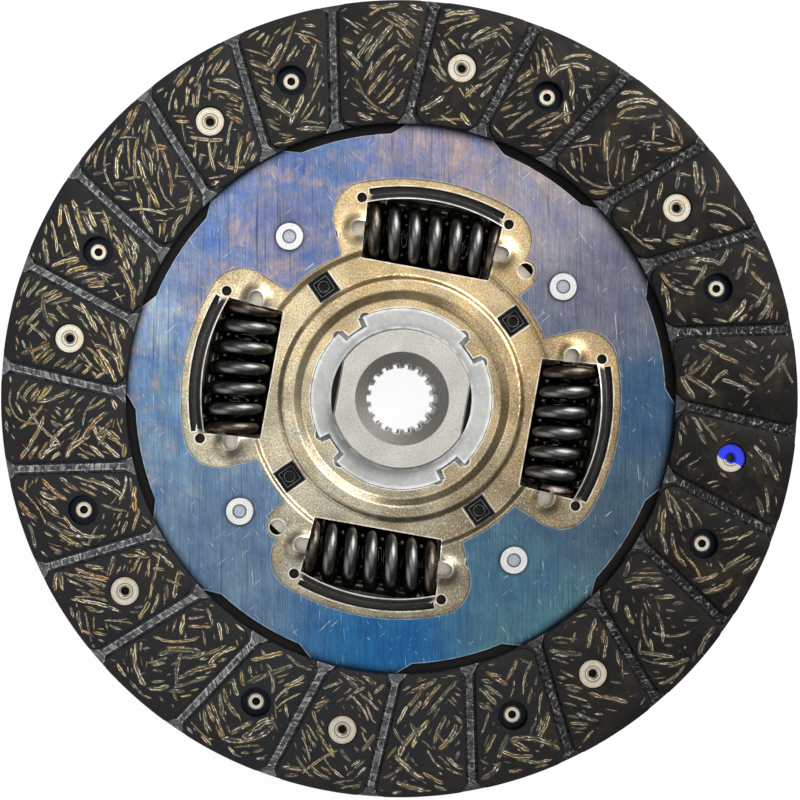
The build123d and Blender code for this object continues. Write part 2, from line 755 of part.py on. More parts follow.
def make_coil(outer_d, wire_d, turns, chords, sides, hand):
    """A coil spring along Y with ground ends, its wire drawn as a bar with flat sides."""
    points = coil_path(outer_d - wire_d, turns, chords, hand)
    with BuildPart(mode=Mode.PRIVATE) as coil:
        with BuildLine() as path:
            Polyline(*points)
        with BuildSketch(Plane(origin=path.line @ 0, x_dir=(1, 0, 0), z_dir=path.line % 0)):
            RegularPolygon(wire_d / 2, sides)
        sweep(transition=Transition.RIGHT)
        with BuildSketch(Plane.XY.offset(-spring_length / 2)):
            Circle(outer_d)
        extrude(amount=spring_length, mode=Mode.INTERSECT)
    return coil.part.rotate(Axis.X, 90)


springs = []
for kind, outer_d, wire_d, turns, chords, sides, hand in (
    ("outer_spring", outer_spring_d, outer_wire_d, outer_turns, outer_chords, outer_wire_sides, 1),
    ("inner_spring", inner_spring_d, inner_wire_d, inner_turns, inner_chords, inner_wire_sides, -1),
):
    coil_solid = make_coil(outer_d, wire_d, turns, chords, sides, hand)
    for pocket in range(pocket_count):
        placed = coil_solid.translate((spring_axis_r, 0, spring_z))
        placed = placed.rotate(Axis.Z, 360 / pocket_count * pocket)
        placed.label = f"{kind}_{pocket + 1}"
        springs.append(placed)

# ---------------------------------------------------------------- labels and files
facing_front.part.label = "facing_front"
facing_rear.part.label = "facing_rear"
facing_rivets_front.part.label = "facing_rivets_front"
facing_rivets_rear.part.label = "facing_rivets_rear"
cushion_plate.part.label = "cushion_plate"
cover_plate.part.label = "cover_plate"
retaining_plate.part.label = "retaining_plate"
hub.part.label = "hub"
stop_pins.part.label = "stop_pins"
guide_bush.part.label = "guide_bush"
front_friction_washer.part.label = "front_friction_washer"
rear_friction_washer.part.label = "rear_friction_washer"
disc_spring.part.label = "disc_spring"

finished = [
    facing_front.part,
    facing_rear.part,
    facing_rivets_front.part,
    facing_rivets_rear.part,
    cushion_plate.part,
    cover_plate.part,
    retaining_plate.part,
    hub.part,
    stop_pins.part,
    guide_bush.part,
    front_friction_washer.part,
    rear_friction_washer.part,
    disc_spring.part,
    *springs,
]
for piece in finished:
    export_step(piece, f"parts/{piece.label}.step")
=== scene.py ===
import math

import bpy
import numpy as np
from mathutils import Matrix, Vector
from mathutils.geometry import delaunay_2d_cdt


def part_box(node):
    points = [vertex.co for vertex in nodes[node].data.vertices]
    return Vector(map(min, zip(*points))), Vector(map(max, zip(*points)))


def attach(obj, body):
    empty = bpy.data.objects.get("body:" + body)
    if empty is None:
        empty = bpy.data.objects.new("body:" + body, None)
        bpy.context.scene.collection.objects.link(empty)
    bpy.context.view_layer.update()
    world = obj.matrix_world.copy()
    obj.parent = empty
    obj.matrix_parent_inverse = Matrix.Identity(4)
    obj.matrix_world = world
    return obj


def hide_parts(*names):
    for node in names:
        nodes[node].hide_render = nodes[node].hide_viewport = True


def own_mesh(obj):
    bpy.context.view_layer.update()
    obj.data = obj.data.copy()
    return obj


# Looks of the clutch disc. Lengths are millimetres until a mesh is made; in a shader, places are metres.
MM = 0.001

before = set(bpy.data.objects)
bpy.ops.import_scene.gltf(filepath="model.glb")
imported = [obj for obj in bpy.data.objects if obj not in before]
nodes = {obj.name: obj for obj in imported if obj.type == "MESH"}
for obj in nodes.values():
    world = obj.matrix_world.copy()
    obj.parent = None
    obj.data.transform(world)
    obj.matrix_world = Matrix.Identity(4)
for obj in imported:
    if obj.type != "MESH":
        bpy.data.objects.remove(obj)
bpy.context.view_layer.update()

# ---------------------------------------------------------------- sizes shared with the frame
FACING_OUTER_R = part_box("facing_front")[1].x / MM
FACE_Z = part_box("facing_front")[1].z / MM
FACING_BACK_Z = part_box("facing_front")[0].z / MM
FLOOR_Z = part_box("hub")[0].z / MM - 0.02
WING_RISE = 2.6
WING_INNER_R = 57.9
COVER_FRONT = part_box("cover_plate")[1].z / MM - WING_RISE  # height of the cover plate's flat rim
FACING_INNER_R = 79.5
REAR_FACING_INNER_R = 76.0
GROOVE_COUNT = 24
GROOVE_STEP = 360 / GROOVE_COUNT
GROOVE_W = 3.3
GROOVE_DEPTH = 1.3
GROOVE_OFFSET = 17.1
GROOVE_ANGLE = 11.85
PAD_OUTER_CORNER = 2.5
PAD_INNER_CORNER = 4.0
RIVET_CIRCLE_R = 97.0
RIVET_COUNT = 8
RIVET_PAIR_ANGLE = 15.5
RIVET_SEAT_R = 4.3
RIVET_SHANK_R = 2.35
RIVET_HEAD_R = 5.5
RIVET_DIP_R = 2.25  # where a rivet's head sinks towards its bore
RIVET_BORE_R = 1.2
RIVET_FLANGE_T = 1.6
SEAT_Z = FACING_BACK_Z + RIVET_FLANGE_T
PIN_CIRCLE_R = 57.07
PIN_COUNT = 4
PIN_DIMPLE_R = 1.9
BORE_MOUTH_R = 13.5
BORE_MOUTH_Z = -2.5
HUB_BOSS_R = 31.0
NOTCH_INNER_R = 49.0  # the flange shows through the cover plate's notches out from here
NOTCH_OUTER_R = 55.0
PHOTO_RIGHT = 10.25  # direction of the photograph's right-hand side, in degrees


# ---------------------------------------------------------------- small helpers
def polar(radius, degrees):
    """The point at a radius and an angle in degrees."""
    a = math.radians(degrees)
    return np.array([radius * math.cos(a), radius * math.sin(a)])


def unit_circle(count):
    """Points evenly spaced round a circle of radius 1."""
    angles = np.linspace(0, 2 * math.pi, count, endpoint=False)
    return np.stack([np.cos(angles), np.sin(angles)], 1)


def radii_of(points):
    return np.hypot(points[:, 0], points[:, 1])


def at_height(points, z):
    """Plane points raised to a height, or each to its own."""
    return np.column_stack([points, np.broadcast_to(z, len(points))])


def unit_rows(rows):
    return rows / np.linalg.norm(rows, axis=1)[:, None]


def quarter_turn(rows):
    """Plane vectors turned anticlockwise by 90 degrees."""
    return np.stack([-rows[:, 1], rows[:, 0]], 1)


def smooth(x):
    """Smooth step of x from 0 to 1."""
    x = np.clip(x, 0, 1)
    return x * x * (3 - 2 * x)


def grey_tints(levels):
    """A grey for each point, as bright as its level."""
    return np.column_stack([levels, levels, levels, np.ones(len(levels))])


def make_object(name, verts, faces, materials, face_material=None, angle=35, colours=None, lay=None):
    """A mesh object from points in mm, smooth where its faces meet at less than an angle."""
    mesh = bpy.data.meshes.new(name)
    mesh.from_pydata((np.asarray(verts) * MM).tolist(), [], faces)
    for mat in materials:
        mesh.materials.append(mat)
    if face_material is not None:
        mesh.polygons.foreach_set("material_index", face_material)
    if colours is not None:
        layer = mesh.color_attributes.new("tint", "FLOAT_COLOR", "POINT")
        layer.data.foreach_set("color", np.asarray(colours, np.float32).ravel())
    if lay is not None:
        layer = mesh.attributes.new("lay", "FLOAT_VECTOR", "POINT")
        layer.data.foreach_set("vector", np.asarray(lay, np.float32).ravel())
    mesh.validate()
    mesh.polygons.foreach_set("use_smooth", [True] * len(mesh.polygons))
    mesh.set_sharp_from_angle(angle=math.radians(angle))
    obj = bpy.data.objects.new(name, mesh)
    bpy.context.scene.collection.objects.link(obj)
    return obj


class MeshParts:
    """Points and faces gathered from several surfaces of one piece."""

    def __init__(self):
        self.verts = []
        self.faces = []
        self.slots = []
        self.tints = []
        self.lays = []
        self.count = 0

    def add(self, verts, faces, slot=0, tints=None, lay=None):
        """Adds a surface with its material slot, and each point's tint and lay."""
        self.verts.append(verts)
        self.tints.append(np.ones((len(verts), 4)) if tints is None else tints)
        self.lays.append(np.zeros((len(verts), 3)) if lay is None else lay)
        self.faces += [[i + self.count for i in face] for face in faces]
        self.slots += [slot] * len(faces)
        self.count += len(verts)

    def arrays(self):
        return np.vstack(self.verts), self.faces, self.slots, np.vstack(self.tints), np.vstack(self.lays)


def ring_faces(rows, columns, closed=True, flip=False):
    """Quads between rows of points, each row a ring or a strip."""
    faces = []
    span = columns if closed else columns - 1
    for i in range(rows - 1):
        for j in range(span):
            a = i * columns + j
            b = i * columns + (j + 1) % columns
            quad = [a, b, b + columns, a + columns]
            faces.append(quad[::-1] if flip else quad)
    return faces


def tube_faces(rows, columns, flip=False):
    """Quads between closed rows of points, and a face over each end."""
    first, last = list(range(columns)), list(range((rows - 1) * columns, rows * columns))
    caps = [first, last[::-1]] if flip else [first[::-1], last]
    return ring_faces(rows, columns, flip=flip) + caps


# ---------------------------------------------------------------- materials
class Field:
    """A node's output, a number or a colour over the surface, with arithmetic."""

    def __init__(self, tree, socket):
        self.tree = tree
        self.socket = socket


OPERATORS = {"add": "ADD", "sub": "SUBTRACT", "mul": "MULTIPLY", "truediv": "DIVIDE", "pow": "POWER"}
for method, operation in OPERATORS.items():
    setattr(Field, f"__{method}__", lambda a, b, operation=operation: a.tree.math(operation, a, b))


class NodeTree:
    """Short calls for the nodes of a material or of the world."""

    def __init__(self, owner):
        owner.use_nodes = True
        self.nodes = owner.node_tree.nodes
        self.links = owner.node_tree.links

    def plug(self, socket, value):
        """Links a field to a socket, or sets it to a number or colour; a colour of one number is a grey."""
        if isinstance(value, Field):
            self.links.new(value.socket, socket)
        elif socket.type == "RGBA":
            socket.default_value = (*(value if isinstance(value, tuple) else (value,) * 3), 1)
        else:
            socket.default_value = value

    def node(self, kind, *values, named=(), **settings):
        """A node with its settings; the values go to its first inputs, and others by name."""
        node = self.nodes.new("ShaderNode" + kind)
        for key, value in settings.items():
            setattr(node, key, value)
        for socket, value in zip(node.inputs, values):
            self.plug(socket, value)
        for name, value in dict(named).items():
            self.plug(node.inputs[name], value)
        return node

    def field(self, output, kind, *values, **more):
        """One output of a new node."""
        return Field(self, self.node(kind, *values, **more).outputs[output])

    def math(self, operation, *values):
        return self.field("Value", "Math", *values, operation=operation)

    def distance(self, place, point):
        return self.field("Value", "VectorMath", place, point, operation="DISTANCE")

    def ramp(self, value, low, high, out_low=0.0, out_high=1.0):
        """Maps low..high to out_low..out_high, smoothly and held at both ends."""
        numbers = (low, high, out_low, out_high)
        return self.field("Result", "MapRange", value, *numbers, interpolation_type="SMOOTHSTEP")

    def mix(self, share, a, b, mode="MIX"):
        node = self.node("Mix", share, data_type="RGBA", blend_type=mode)
        self.plug(node.inputs[6], a)
        self.plug(node.inputs[7], b)
        return Field(self, node.outputs[2])


class Shader(NodeTree):
    """A Principled material. Places are object coordinates in metres."""

    def __init__(self, name, **sockets):
        self.mat = bpy.data.materials.new(name)
        super().__init__(self.mat)
        self.bsdf = self.nodes["Principled BSDF"]
        for key, value in sockets.items():
            self.set(key.replace("_", " "), value)
        self.place = self.field("Object", "TexCoord")

    def set(self, name, value):
        self.plug(self.bsdf.inputs[name], value)

    def mapped(self, scale=(1, 1, 1), turn=0.0, at=(0, 0, 0)):
        """The place, turned about Z by an angle in degrees and then stretched."""
        rotation = (0, 0, math.radians(turn))
        return self.field("Vector", "Mapping", self.place, at, rotation, scale, vector_type="TEXTURE")

    def noise(self, size, detail=2.0, rough=0.5, place=None, bend=0.0):
        """Noise whose features are about size mm across."""
        named = {"Scale": 1 / (size * MM), "Detail": detail, "Roughness": rough, "Distortion": bend}
        return self.field("Fac", "TexNoise", place or self.place, named=named)

    def cells(self, size, feature="F1", place=None, output="Distance"):
        scale = {"Scale": 1 / (size * MM)}
        return self.field(output, "TexVoronoi", place or self.place, named=scale, feature=feature)

    def edge(self, length, low, high, out_low=0.0, out_high=1.0):
        """A ramp over a length from low to high, both in mm."""
        return self.ramp(length, low * MM, high * MM, out_low, out_high)

    def band(self, length, low, high, soft):
        """1 between two lengths in mm, and 0 outside them by a soft margin."""
        return self.edge(length, low - soft, low) * self.edge(length, high + soft, high)

    def xyz(self, place=None):
        return [Field(self, out) for out in self.node("SeparateXYZ", place or self.place).outputs]

    def vector(self, x, y, z=0.0):
        return self.field("Vector", "CombineXYZ", x, y, z)

    def radius(self):
        """Distance from the disc's axis."""
        x, y, _ = self.xyz()
        return self.math("SQRT", x * x + y * y)

    def toward(self, bearing, at=(0, 0, 0)):
        """Distance from a point in a direction of the photograph, in degrees from its right."""
        return self.xyz(self.mapped(turn=PHOTO_RIGHT + bearing, at=at))[0]

    def attribute(self, name, output="Vector"):
        return self.field(output, "Attribute", attribute_name=name)

    def occlusion(self, reach, inside=False):
        """How open the surface is within a reach in mm; inside, it falls towards outer edges."""
        named = {"Distance": reach * MM}
        return self.field("AO", "AmbientOcclusion", named=named, samples=6, inside=inside, only_local=inside)

    def toned(self, colour, share, low, high):
        """The colour times one that goes from low to high."""
        return self.mix(1.0, colour, self.mix(share, low, high), "MULTIPLY")

    def wear_and_edge_highlight(self, colour, edge, reach=0.55, share=0.8):
        """The colour with its outer edges made bright, partly as rubbed wear and partly as a painted edge
        highlight, here more and there less.
        """
        worn_and_highlit = self.ramp(self.occlusion(reach, True), 0.95, 0.72, 0.0, share)
        uneven = self.ramp(self.noise(3.0, 2), 0.35, 0.6, 0.35, 1.0)
        return self.mix(worn_and_highlit * uneven, colour, edge)

    def shade(self, colour, reach, dark=0.35, low=0.35):
        """The colour darkened by painted shade in its corners and under its edges."""
        return self.mix(1.0, colour, self.ramp(self.occlusion(reach), low, 0.97, dark, 1.0), "MULTIPLY")

    def from_nearest(self, circle_r, count, first_angle):
        """Distance from the nearest of the centres spaced round a circle."""
        x, y, _ = self.xyz()
        half_step = math.pi / count
        bearing = self.math("ARCTAN2", y, x) - math.radians(first_angle)
        bearing = self.math("WRAP", bearing, half_step, -half_step)
        out = self.radius() * self.math("COSINE", bearing) - circle_r * MM
        side = self.radius() * self.math("SINE", bearing)
        return self.math("SQRT", out * out + side * side)

    def turned(self, distance, pitch):
        """Rings from 0 to 1 about a centre, with a pitch in mm."""
        return self.math("SINE", distance * (2 * math.pi / (pitch * MM))) * 0.5 + 0.5

    def finished(self, colour, *bumps):
        """The material with its colour and bumps, each a height, a depth and a strength."""
        self.set("Base Color", colour)
        for bump in bumps:
            self.bump(*bump)
        return self.mat

    def bump(self, height, depth, strength):
        """Bump from a height of 0 to 1 that stands for a depth in mm; a second call adds to the first."""
        node = self.node("Bump", named={"Strength": strength, "Distance": depth * MM, "Height": height})
        normal = self.bsdf.inputs["Normal"]
        if normal.is_linked:
            self.links.new(normal.links[0].from_socket, node.inputs["Normal"])
        self.links.new(node.outputs[0], normal)


OWN_SCALE = 1 / MM  # a size that leaves the scale of a place as it is


def friction_colour(s):
    """Charcoal with an olive haze, a short grain in two directions, and copper specks; painted light and
    shade make it lighter towards one side of the disc and darker towards the other.
    """
    haze = s.ramp(s.noise(8, 3, 0.6), 0.42, 0.7)
    fine = s.noise(0.6, 4, 0.75)
    grains = [s.noise(1, 3, 0.7, s.mapped((3.2, 0.45, 1), turn), 0.6) for turn in (35, -40)]
    patch = s.ramp(s.noise(7, 1), 0.46, 0.54)
    hair = s.mix(patch, *(s.ramp(grain, 0.58, 0.8) for grain in grains))
    # Painted light and shade by side: the base is lighter towards one side of the disc and darker towards
    # the other, where the haze is stronger.
    left = s.edge(s.toward(195), -90, 50)
    dark = s.mix(left, 0.0002, (0.007, 0.008, 0.010))
    light = s.mix(left, (0.005, 0.0047, 0.004), (0.020, 0.021, 0.023))
    warm = s.edge(s.toward(35), -30, 80, 0.3, 0.6)
    base = s.mix(haze * warm, s.mix(fine, dark, light), (0.032, 0.024, 0.013))
    base = s.mix(hair * 0.45, base, (0.085, 0.072, 0.042))
    copper = s.ramp(s.cells(1.6), 0.1, 0.04) * s.ramp(s.noise(5, 0), 0.6, 0.66)
    s.bump(fine, 0.05, 0.6)
    s.bump(hair, 0.05, 0.6)
    return s.mix(copper, base, (0.5, 0.19, 0.05))


def friction_base():
    """Moulded friction material."""
    s = Shader("friction_base", Roughness=0.5, Specular_IOR_Level=0.16)
    return s.finished(s.shade(friction_colour(s), 4.0, 0.08, 0.5))


def groove_floor():
    """The bottom of a groove: crumpled grey foil, or black with a few painted glints; a painted highlight
    runs along each side, and painted shadow along the walls.

    The lay holds the place along and across the groove in mm and the groove's number; the tint's red
    is the foil's brightness.
    """
    s = Shader("groove_floor", Roughness=0.36, Metallic=0.55)
    along, across, number = s.xyz(s.attribute("lay"))
    silver = s.xyz(s.attribute("tint"))[0]
    slid = along + across * (s.math("SINE", number * 2.4) * 0.5)
    row = number * 9.7
    folds = s.vector(slid / 1.45, across / 7.0, row)
    small = s.vector(slid / 0.9, across / 1.6, row)
    facet = s.xyz(s.cells(OWN_SCALE, place=folds, output="Color"))[0]
    chip = s.xyz(s.cells(OWN_SCALE, place=small, output="Color"))[1]
    border = s.cells(OWN_SCALE, "DISTANCE_TO_EDGE", folds)
    broken = s.ramp(s.noise(OWN_SCALE, 2, 0.6, s.vector(along / 1.4, number, across)), 0.42, 0.6)
    level = ((facet * 0.6 + chip * 0.35) * s.ramp(border, 0.02, 0.12)) ** 1.4
    foil = s.mix(level, (0.045, 0.046, 0.05), (0.42, 0.42, 0.41))
    # Painted glints on the black floor.
    ladder = s.ramp(border, 0.1, 0.02) * s.ramp(chip, 0.0, 0.7, 0.3, 1.0)
    black = s.mix(ladder * broken, (0.005, 0.005, 0.006), (0.28, 0.27, 0.26))
    inner_end = s.edge(s.radius(), FACING_INNER_R + 3.2, FACING_INNER_R)
    outer_end = s.edge(s.radius(), FACING_OUTER_R - 2.5, FACING_OUTER_R - 0.5)
    flare = s.math("MAXIMUM", inner_end, outer_end)
    end = s.mix(silver, (0.006, 0.006, 0.008), (0.10, 0.105, 0.115))
    colour = s.mix(flare * 0.75, s.mix(silver, black, foil), end)
    side = s.math("ABSOLUTE", across) - flare * 1.6
    # A painted highlight by each side of the groove, and painted shadow along its walls.
    rim = s.ramp(side, 0.5, 0.75) * s.ramp(side, 0.95, 0.85) * broken * (silver * 0.55 + 0.06)
    colour = s.mix(rim, colour, (0.66, 0.66, 0.65))
    wall_shadow = s.mix(silver, 0.003, (0.016, 0.018, 0.022))
    return s.finished(s.mix(s.ramp(side, 0.88, 1.0), colour, wall_shadow), (level, 0.25, 0.9))


def fibre():
    """Ground yarn flush in the friction material: two broken bright strands with dull ones between, and
    white specks on the strands that are painted highlights.

    The lay holds the place along the yarn in mm, across it from -1 to 1, and the yarn's number; the tint is
    the yarn's colour, brightened towards one side of the disc by painted light, and its alpha fades the ends
    out and carries the same painted light.
    """
    s = Shader("fibre", Roughness=0.38, Specular_IOR_Level=0.4)
    ground = friction_colour(s)
    tint = s.attribute("tint", "Color")
    fade = s.attribute("tint", "Alpha")
    along, across, number = s.xyz(s.attribute("lay"))

    def wave(size, row, detail=1.0):
        """Noise along the yarn; each row gives another noise."""
        return s.noise(OWN_SCALE, detail, 0.6, s.vector(along / size, number * 3.7 + row))

    def strand(row, middle):
        """A bright line that wanders about a place across the yarn, broken into beads."""
        drift = wave(3.4, row) * 1.5 + (middle - 0.75)
        beads = s.ramp(wave(2.6, row + 5.1, 2), 0.4, 0.5) * s.ramp(wave(0.9, row + 8.3), 0.3, 0.6, 0.5, 1.0)
        return s.ramp(s.math("ABSOLUTE", across - drift), 0.26, 0.04) * beads

    strands = s.math("MAXIMUM", strand(11.3, -0.42), strand(27.1, 0.42)) * fade
    fine = s.noise(0.45, 2, 0.6)
    side = s.math("ABSOLUTE", across)
    body = s.ramp(side, 0.9, 0.3) * s.ramp(wave(2.2, 41.7, 2), 0.36, 0.6) * fade * 0.7
    colour = s.mix(body, ground, s.toned(tint, fine, (0.12, 0.11, 0.07), (0.50, 0.45, 0.30)))
    colour = s.mix(strands, colour, s.toned(tint, fine, (0.65, 0.64, 0.60), (1.95, 1.9, 1.8)))
    tip = strands * s.ramp(wave(1.6, 83.1, 1), 0.6, 0.7)
    # White specks on the strands: painted highlights.
    glass = strands * s.ramp(wave(1.5, 63.9, 2), 0.55, 0.63)
    colour = s.mix(tip, colour, (0.60, 0.37, 0.11))
    return s.finished(s.mix(glass, colour, (1.0, 0.97, 0.86)), (strands, 0.07, 0.8))


def gold_plate(name, depth, dark):
    """Zinc plate passivated to a straw gold with painted glints that sparkle, paler and greener towards one
    side.

    Recesses narrower than about the depth, in mm, are darkened by painted shade. Painted shade also darkens
    the plate towards one side and paints the raised wings near black outward of their silver inner edge.
    """
    s = Shader(name, Metallic=0.92, Roughness=0.32)
    warm = s.edge(s.toward(62), -50, 40)
    lit = s.edge(s.toward(135), -60, 30)
    grain = s.noise(0.5, 3, 0.9)
    sparkle = s.ramp(s.noise(0.42, 1, 0.9), 0.6, 0.7)
    coarse = s.ramp(s.noise(9, 2), 0.35, 0.65)
    uneven = s.ramp(s.noise(13, 2, 0.5, s.mapped(at=(0.03, 0, 0))), 0.35, 0.65)
    sharp = s.ramp(grain, 0.3, 0.7)
    pale = s.mix(sharp, (0.21, 0.21, 0.165), (0.62, 0.61, 0.51))
    rich = s.mix(sharp, (0.34, 0.235, 0.10), (0.92, 0.70, 0.39))
    colour = s.mix(coarse * 0.3 + warm * 0.75, pale, rich)
    # Painted shade: darker towards one side of the plate.
    colour = s.toned(colour, lit, (0.60, 0.55, 0.49), (1.03, 1.02, 1.0))
    colour = s.toned(colour, uneven, (0.72, 0.70, 0.66), (1.13, 1.14, 1.14))
    # Painted glints: the sparkle.
    colour = s.mix(sparkle * 0.5, colour, (1.0, 0.95, 0.82))
    # The raised wings: silver along their inner edge, and painted shade, near black, outward of it.
    risen = s.edge(s.xyz()[2], COVER_FRONT + 0.2, COVER_FRONT + 0.6)
    wing = risen * s.edge(s.radius(), WING_INNER_R - 0.7, WING_INNER_R - 0.3)
    silver = s.mix(s.edge(s.radius(), WING_INNER_R + 0.8, WING_INNER_R + 0.2), 0.02, (0.52, 0.51, 0.48))
    colour = s.mix(wing, colour, s.toned(silver, grain, 0.5, 1.3))
    colour = s.wear_and_edge_highlight(s.shade(colour, depth, dark), (1.0, 0.95, 0.83))
    # Painted shade, near black, on the wings outward of their inner edge.
    inner = s.edge(s.radius(), WING_INNER_R + 0.5, WING_INNER_R + 0.1, 0.94, 0.0)
    s.set("Roughness", s.ramp(grain, 0.3, 0.7, 0.4, 0.24))
    return s.finished(s.mix(wing * inner, colour, 0.02), (grain, 0.03, 0.6))


# Heat tints of the spring steel, with painted light in their brightness: angle in the photograph, radius in
# mm and colour
HEAT_TINTS_AND_LIGHT = (
    (0, 72, (0.037, 0.088, 0.165)),
    (24, 70, (0.132, 0.135, 0.18)),
    (60, 72, (0.262, 0.25, 0.29)),
    (86, 74, (0.235, 0.223, 0.306)),
    (108, 72, (0.115, 0.178, 0.352)),
    (126, 60, (0.15, 0.17, 0.30)),
    (135, 76, (0.13, 0.205, 0.40)),
    (152, 66, (0.20, 0.24, 0.36)),
    (160, 74, (0.22, 0.33, 0.46)),
    (180, 72, (0.12, 0.22, 0.335)),
    (222, 70, (0.11, 0.184, 0.27)),
    (266, 74, (0.012, 0.11, 0.275)),
    (300, 72, (0.06, 0.147, 0.20)),
    (332, 72, (0.055, 0.095, 0.135)),
)
ROLLED = PHOTO_RIGHT + 90  # direction in which the steel was rolled


def heat_tint_and_light(s):
    """The heat tints with their painted light, each strongest at its own place."""
    total, weights = (0.0, 0.0, 0.0), 0.0
    for angle, radius, colour in HEAT_TINTS_AND_LIGHT:
        centre = (*polar(radius * MM, angle + PHOTO_RIGHT), 0)
        weight = s.math("DIVIDE", 0.02, s.distance(s.place, centre)) ** 3.0
        total = s.mix(1.0, total, s.mix(1.0, colour, weight, "MULTIPLY"), "ADD")
        weights = weight + weights
    return s.mix(1.0, total, weights, "DIVIDE")


def blued_steel():
    """Spring steel with heat tints, rolled streaks, scratches and white specks, and painted shadow under the
    facings' inner edges.
    """
    s = Shader("blued_steel", Metallic=0.8, Roughness=0.34)
    brushed = s.noise(1, 4, 0.7, s.mapped((9, 0.4, 1), ROLLED))
    strokes = s.noise(1, 3, 0.7, s.mapped((3, 0.5, 1), ROLLED + 38), 1.2)
    flame = s.ramp(s.noise(9, 5, 0.65, bend=0.8), 0.5, 0.66)
    deep = s.ramp(s.noise(13, 4, 0.55, s.mapped(at=(0.05, 0.02, 0)), 0.8), 0.44, 0.7)
    upper = s.edge(s.toward(125), -10, 60)
    dabs = s.noise(5, 5, 0.8, bend=1.0)
    tint = s.mix(deep * upper * 0.65, heat_tint_and_light(s), (0.07, 0.14, 0.31))
    tint = s.mix(flame * upper * 0.6, tint, (0.36, 0.28, 0.25))
    colour = s.mix(upper, tint, s.toned(tint, dabs, (0.0, 0.6, 1.5), (2.1, 1.35, 0.4)))
    colour = s.toned(colour, brushed, (0.25, 0.27, 0.32), (1.75, 1.73, 1.68))
    colour = s.toned(colour, strokes, (0.6, 0.62, 0.66), (1.4, 1.38, 1.34))
    colour = s.toned(colour, s.noise(11, 3, 0.65), (0.3, 0.45, 0.8), (1.7, 1.55, 1.2))
    lines = s.ramp(s.noise(1, 2, 0.6, s.mapped((34, 0.55, 1), ROLLED)), 0.61, 0.70)
    colour = s.mix(lines * 0.55, colour, (0.02, 0.03, 0.05))
    marks = s.ramp(s.noise(0.8, 5, 0.85), 0.68, 0.8)
    for turn, size in ((35, (4.5, 0.22, 1)), (-50, (7, 0.25, 1)), (4, (9, 0.2, 1))):
        scratch = s.noise(1, 1, 0.5, s.mapped(size, ROLLED + turn))
        marks = s.math("MAXIMUM", marks, s.ramp(scratch, 0.765, 0.79))
    colour = s.mix(marks * 0.85, colour, (0.80, 0.81, 0.84))
    # Painted shadow under the facings' inner edges.
    shadow_under_facings = s.edge(s.radius(), FACING_INNER_R - 1, FACING_INNER_R + 1.5)
    colour = s.shade(s.mix(shadow_under_facings, colour, (0.02, 0.035, 0.075)), 3.0, 0.08, 0.45)
    return s.finished(s.wear_and_edge_highlight(colour, (0.70, 0.72, 0.75), 0.35, 0.4), (brushed, 0.02, 0.6))


def spring_steel(name, tone):
    """Black-finished spring wire, glossy on top; the tint's red is how brown it is."""
    s = Shader(name, Metallic=1.0, Roughness=0.3)
    fine = s.noise(0.6, 4, 0.7)
    black = s.mix(fine, (tone * 0.75, tone * 0.74, tone * 0.72), (tone * 1.3, tone * 1.27, tone * 1.2))
    brown = s.mix(s.noise(1.4, 3, 0.6), (0.03, 0.022, 0.016), (0.15, 0.105, 0.07))
    share = s.xyz(s.attribute("tint"))[0] * s.ramp(s.noise(2.5, 2), 0.3, 0.6, 0.4, 0.9)
    s.set("Roughness", s.ramp(fine, 0.3, 0.7, 0.2, 0.3))
    return s.finished(s.shade(s.mix(share, black, brown), 5.0, 0.02, 0.25), (fine, 0.015, 0.4))


def hub_steel():
    """Forged and faced steel, speckled light grey; the bore's countersink is darker, with turning marks, and
    the flange's side walls are painted near black as shade.
    """
    s = Shader("hub_steel", Metallic=0.8, Roughness=0.38)
    radius = s.radius()
    facing_up = s.xyz(s.field("Normal", "NewGeometry"))[2]
    grain = s.noise(0.5, 3, 0.8)
    colour = s.mix(grain, (0.18, 0.172, 0.155), (0.88, 0.85, 0.78))
    colour = s.toned(colour, s.noise(5, 2), 0.75, 1.15)
    pits = s.ramp(s.noise(0.9, 3, 0.8), 0.36, 0.28)
    colour = s.mix(pits * 0.7, colour, 0.05)
    rings = s.mix(s.turned(radius + grain * 0.0003, 0.5), (0.14, 0.135, 0.12), (0.25, 0.24, 0.22))
    low = s.edge(s.xyz()[2], BORE_MOUTH_Z - 0.5, BORE_MOUTH_Z)
    mouth = s.edge(radius, BORE_MOUTH_R + 0.25, BORE_MOUTH_R) * low
    colour = s.shade(s.mix(mouth, colour, s.toned(rings, grain, 0.6, 1.4)), 9.0, 0.03, 0.3)
    notch = s.band(radius, NOTCH_INNER_R, NOTCH_OUTER_R, 0.5) * s.ramp(facing_up, 0.6, 0.9)
    light = s.mix(grain, (0.42, 0.38, 0.31), (0.95, 0.89, 0.76))
    colour = s.mix(notch, colour, s.shade(light, 1.2, 0.1))
    boss = s.edge(radius, HUB_BOSS_R + 1, HUB_BOSS_R)
    colour = s.mix(boss, colour, s.wear_and_edge_highlight(colour, (0.88, 0.87, 0.85), 0.6, 0.75))
    # Painted shade: the flange's side walls are near black.
    shaded_flange_walls = s.ramp(facing_up, 0.6, 0.3) * s.edge(radius, HUB_BOSS_R, HUB_BOSS_R + 1)
    s.set("Roughness", s.ramp(mouth, 0, 1, 0.38, 0.6))
    return s.finished(s.mix(shaded_flange_walls, colour, (0.03, 0.029, 0.027)), (grain, 0.03, 0.6))


def disc_spring_steel():
    """Bare steel in two tones of fine grain."""
    s = Shader("disc_spring_steel", Metallic=0.85, Roughness=0.4)
    grain = s.noise(0.8, 4, 0.7)
    colour = s.shade(s.mix(grain, (0.10, 0.10, 0.11), (0.30, 0.30, 0.32)), 1.2, 0.3)
    return s.finished(colour, (grain, 0.02, 0.5))


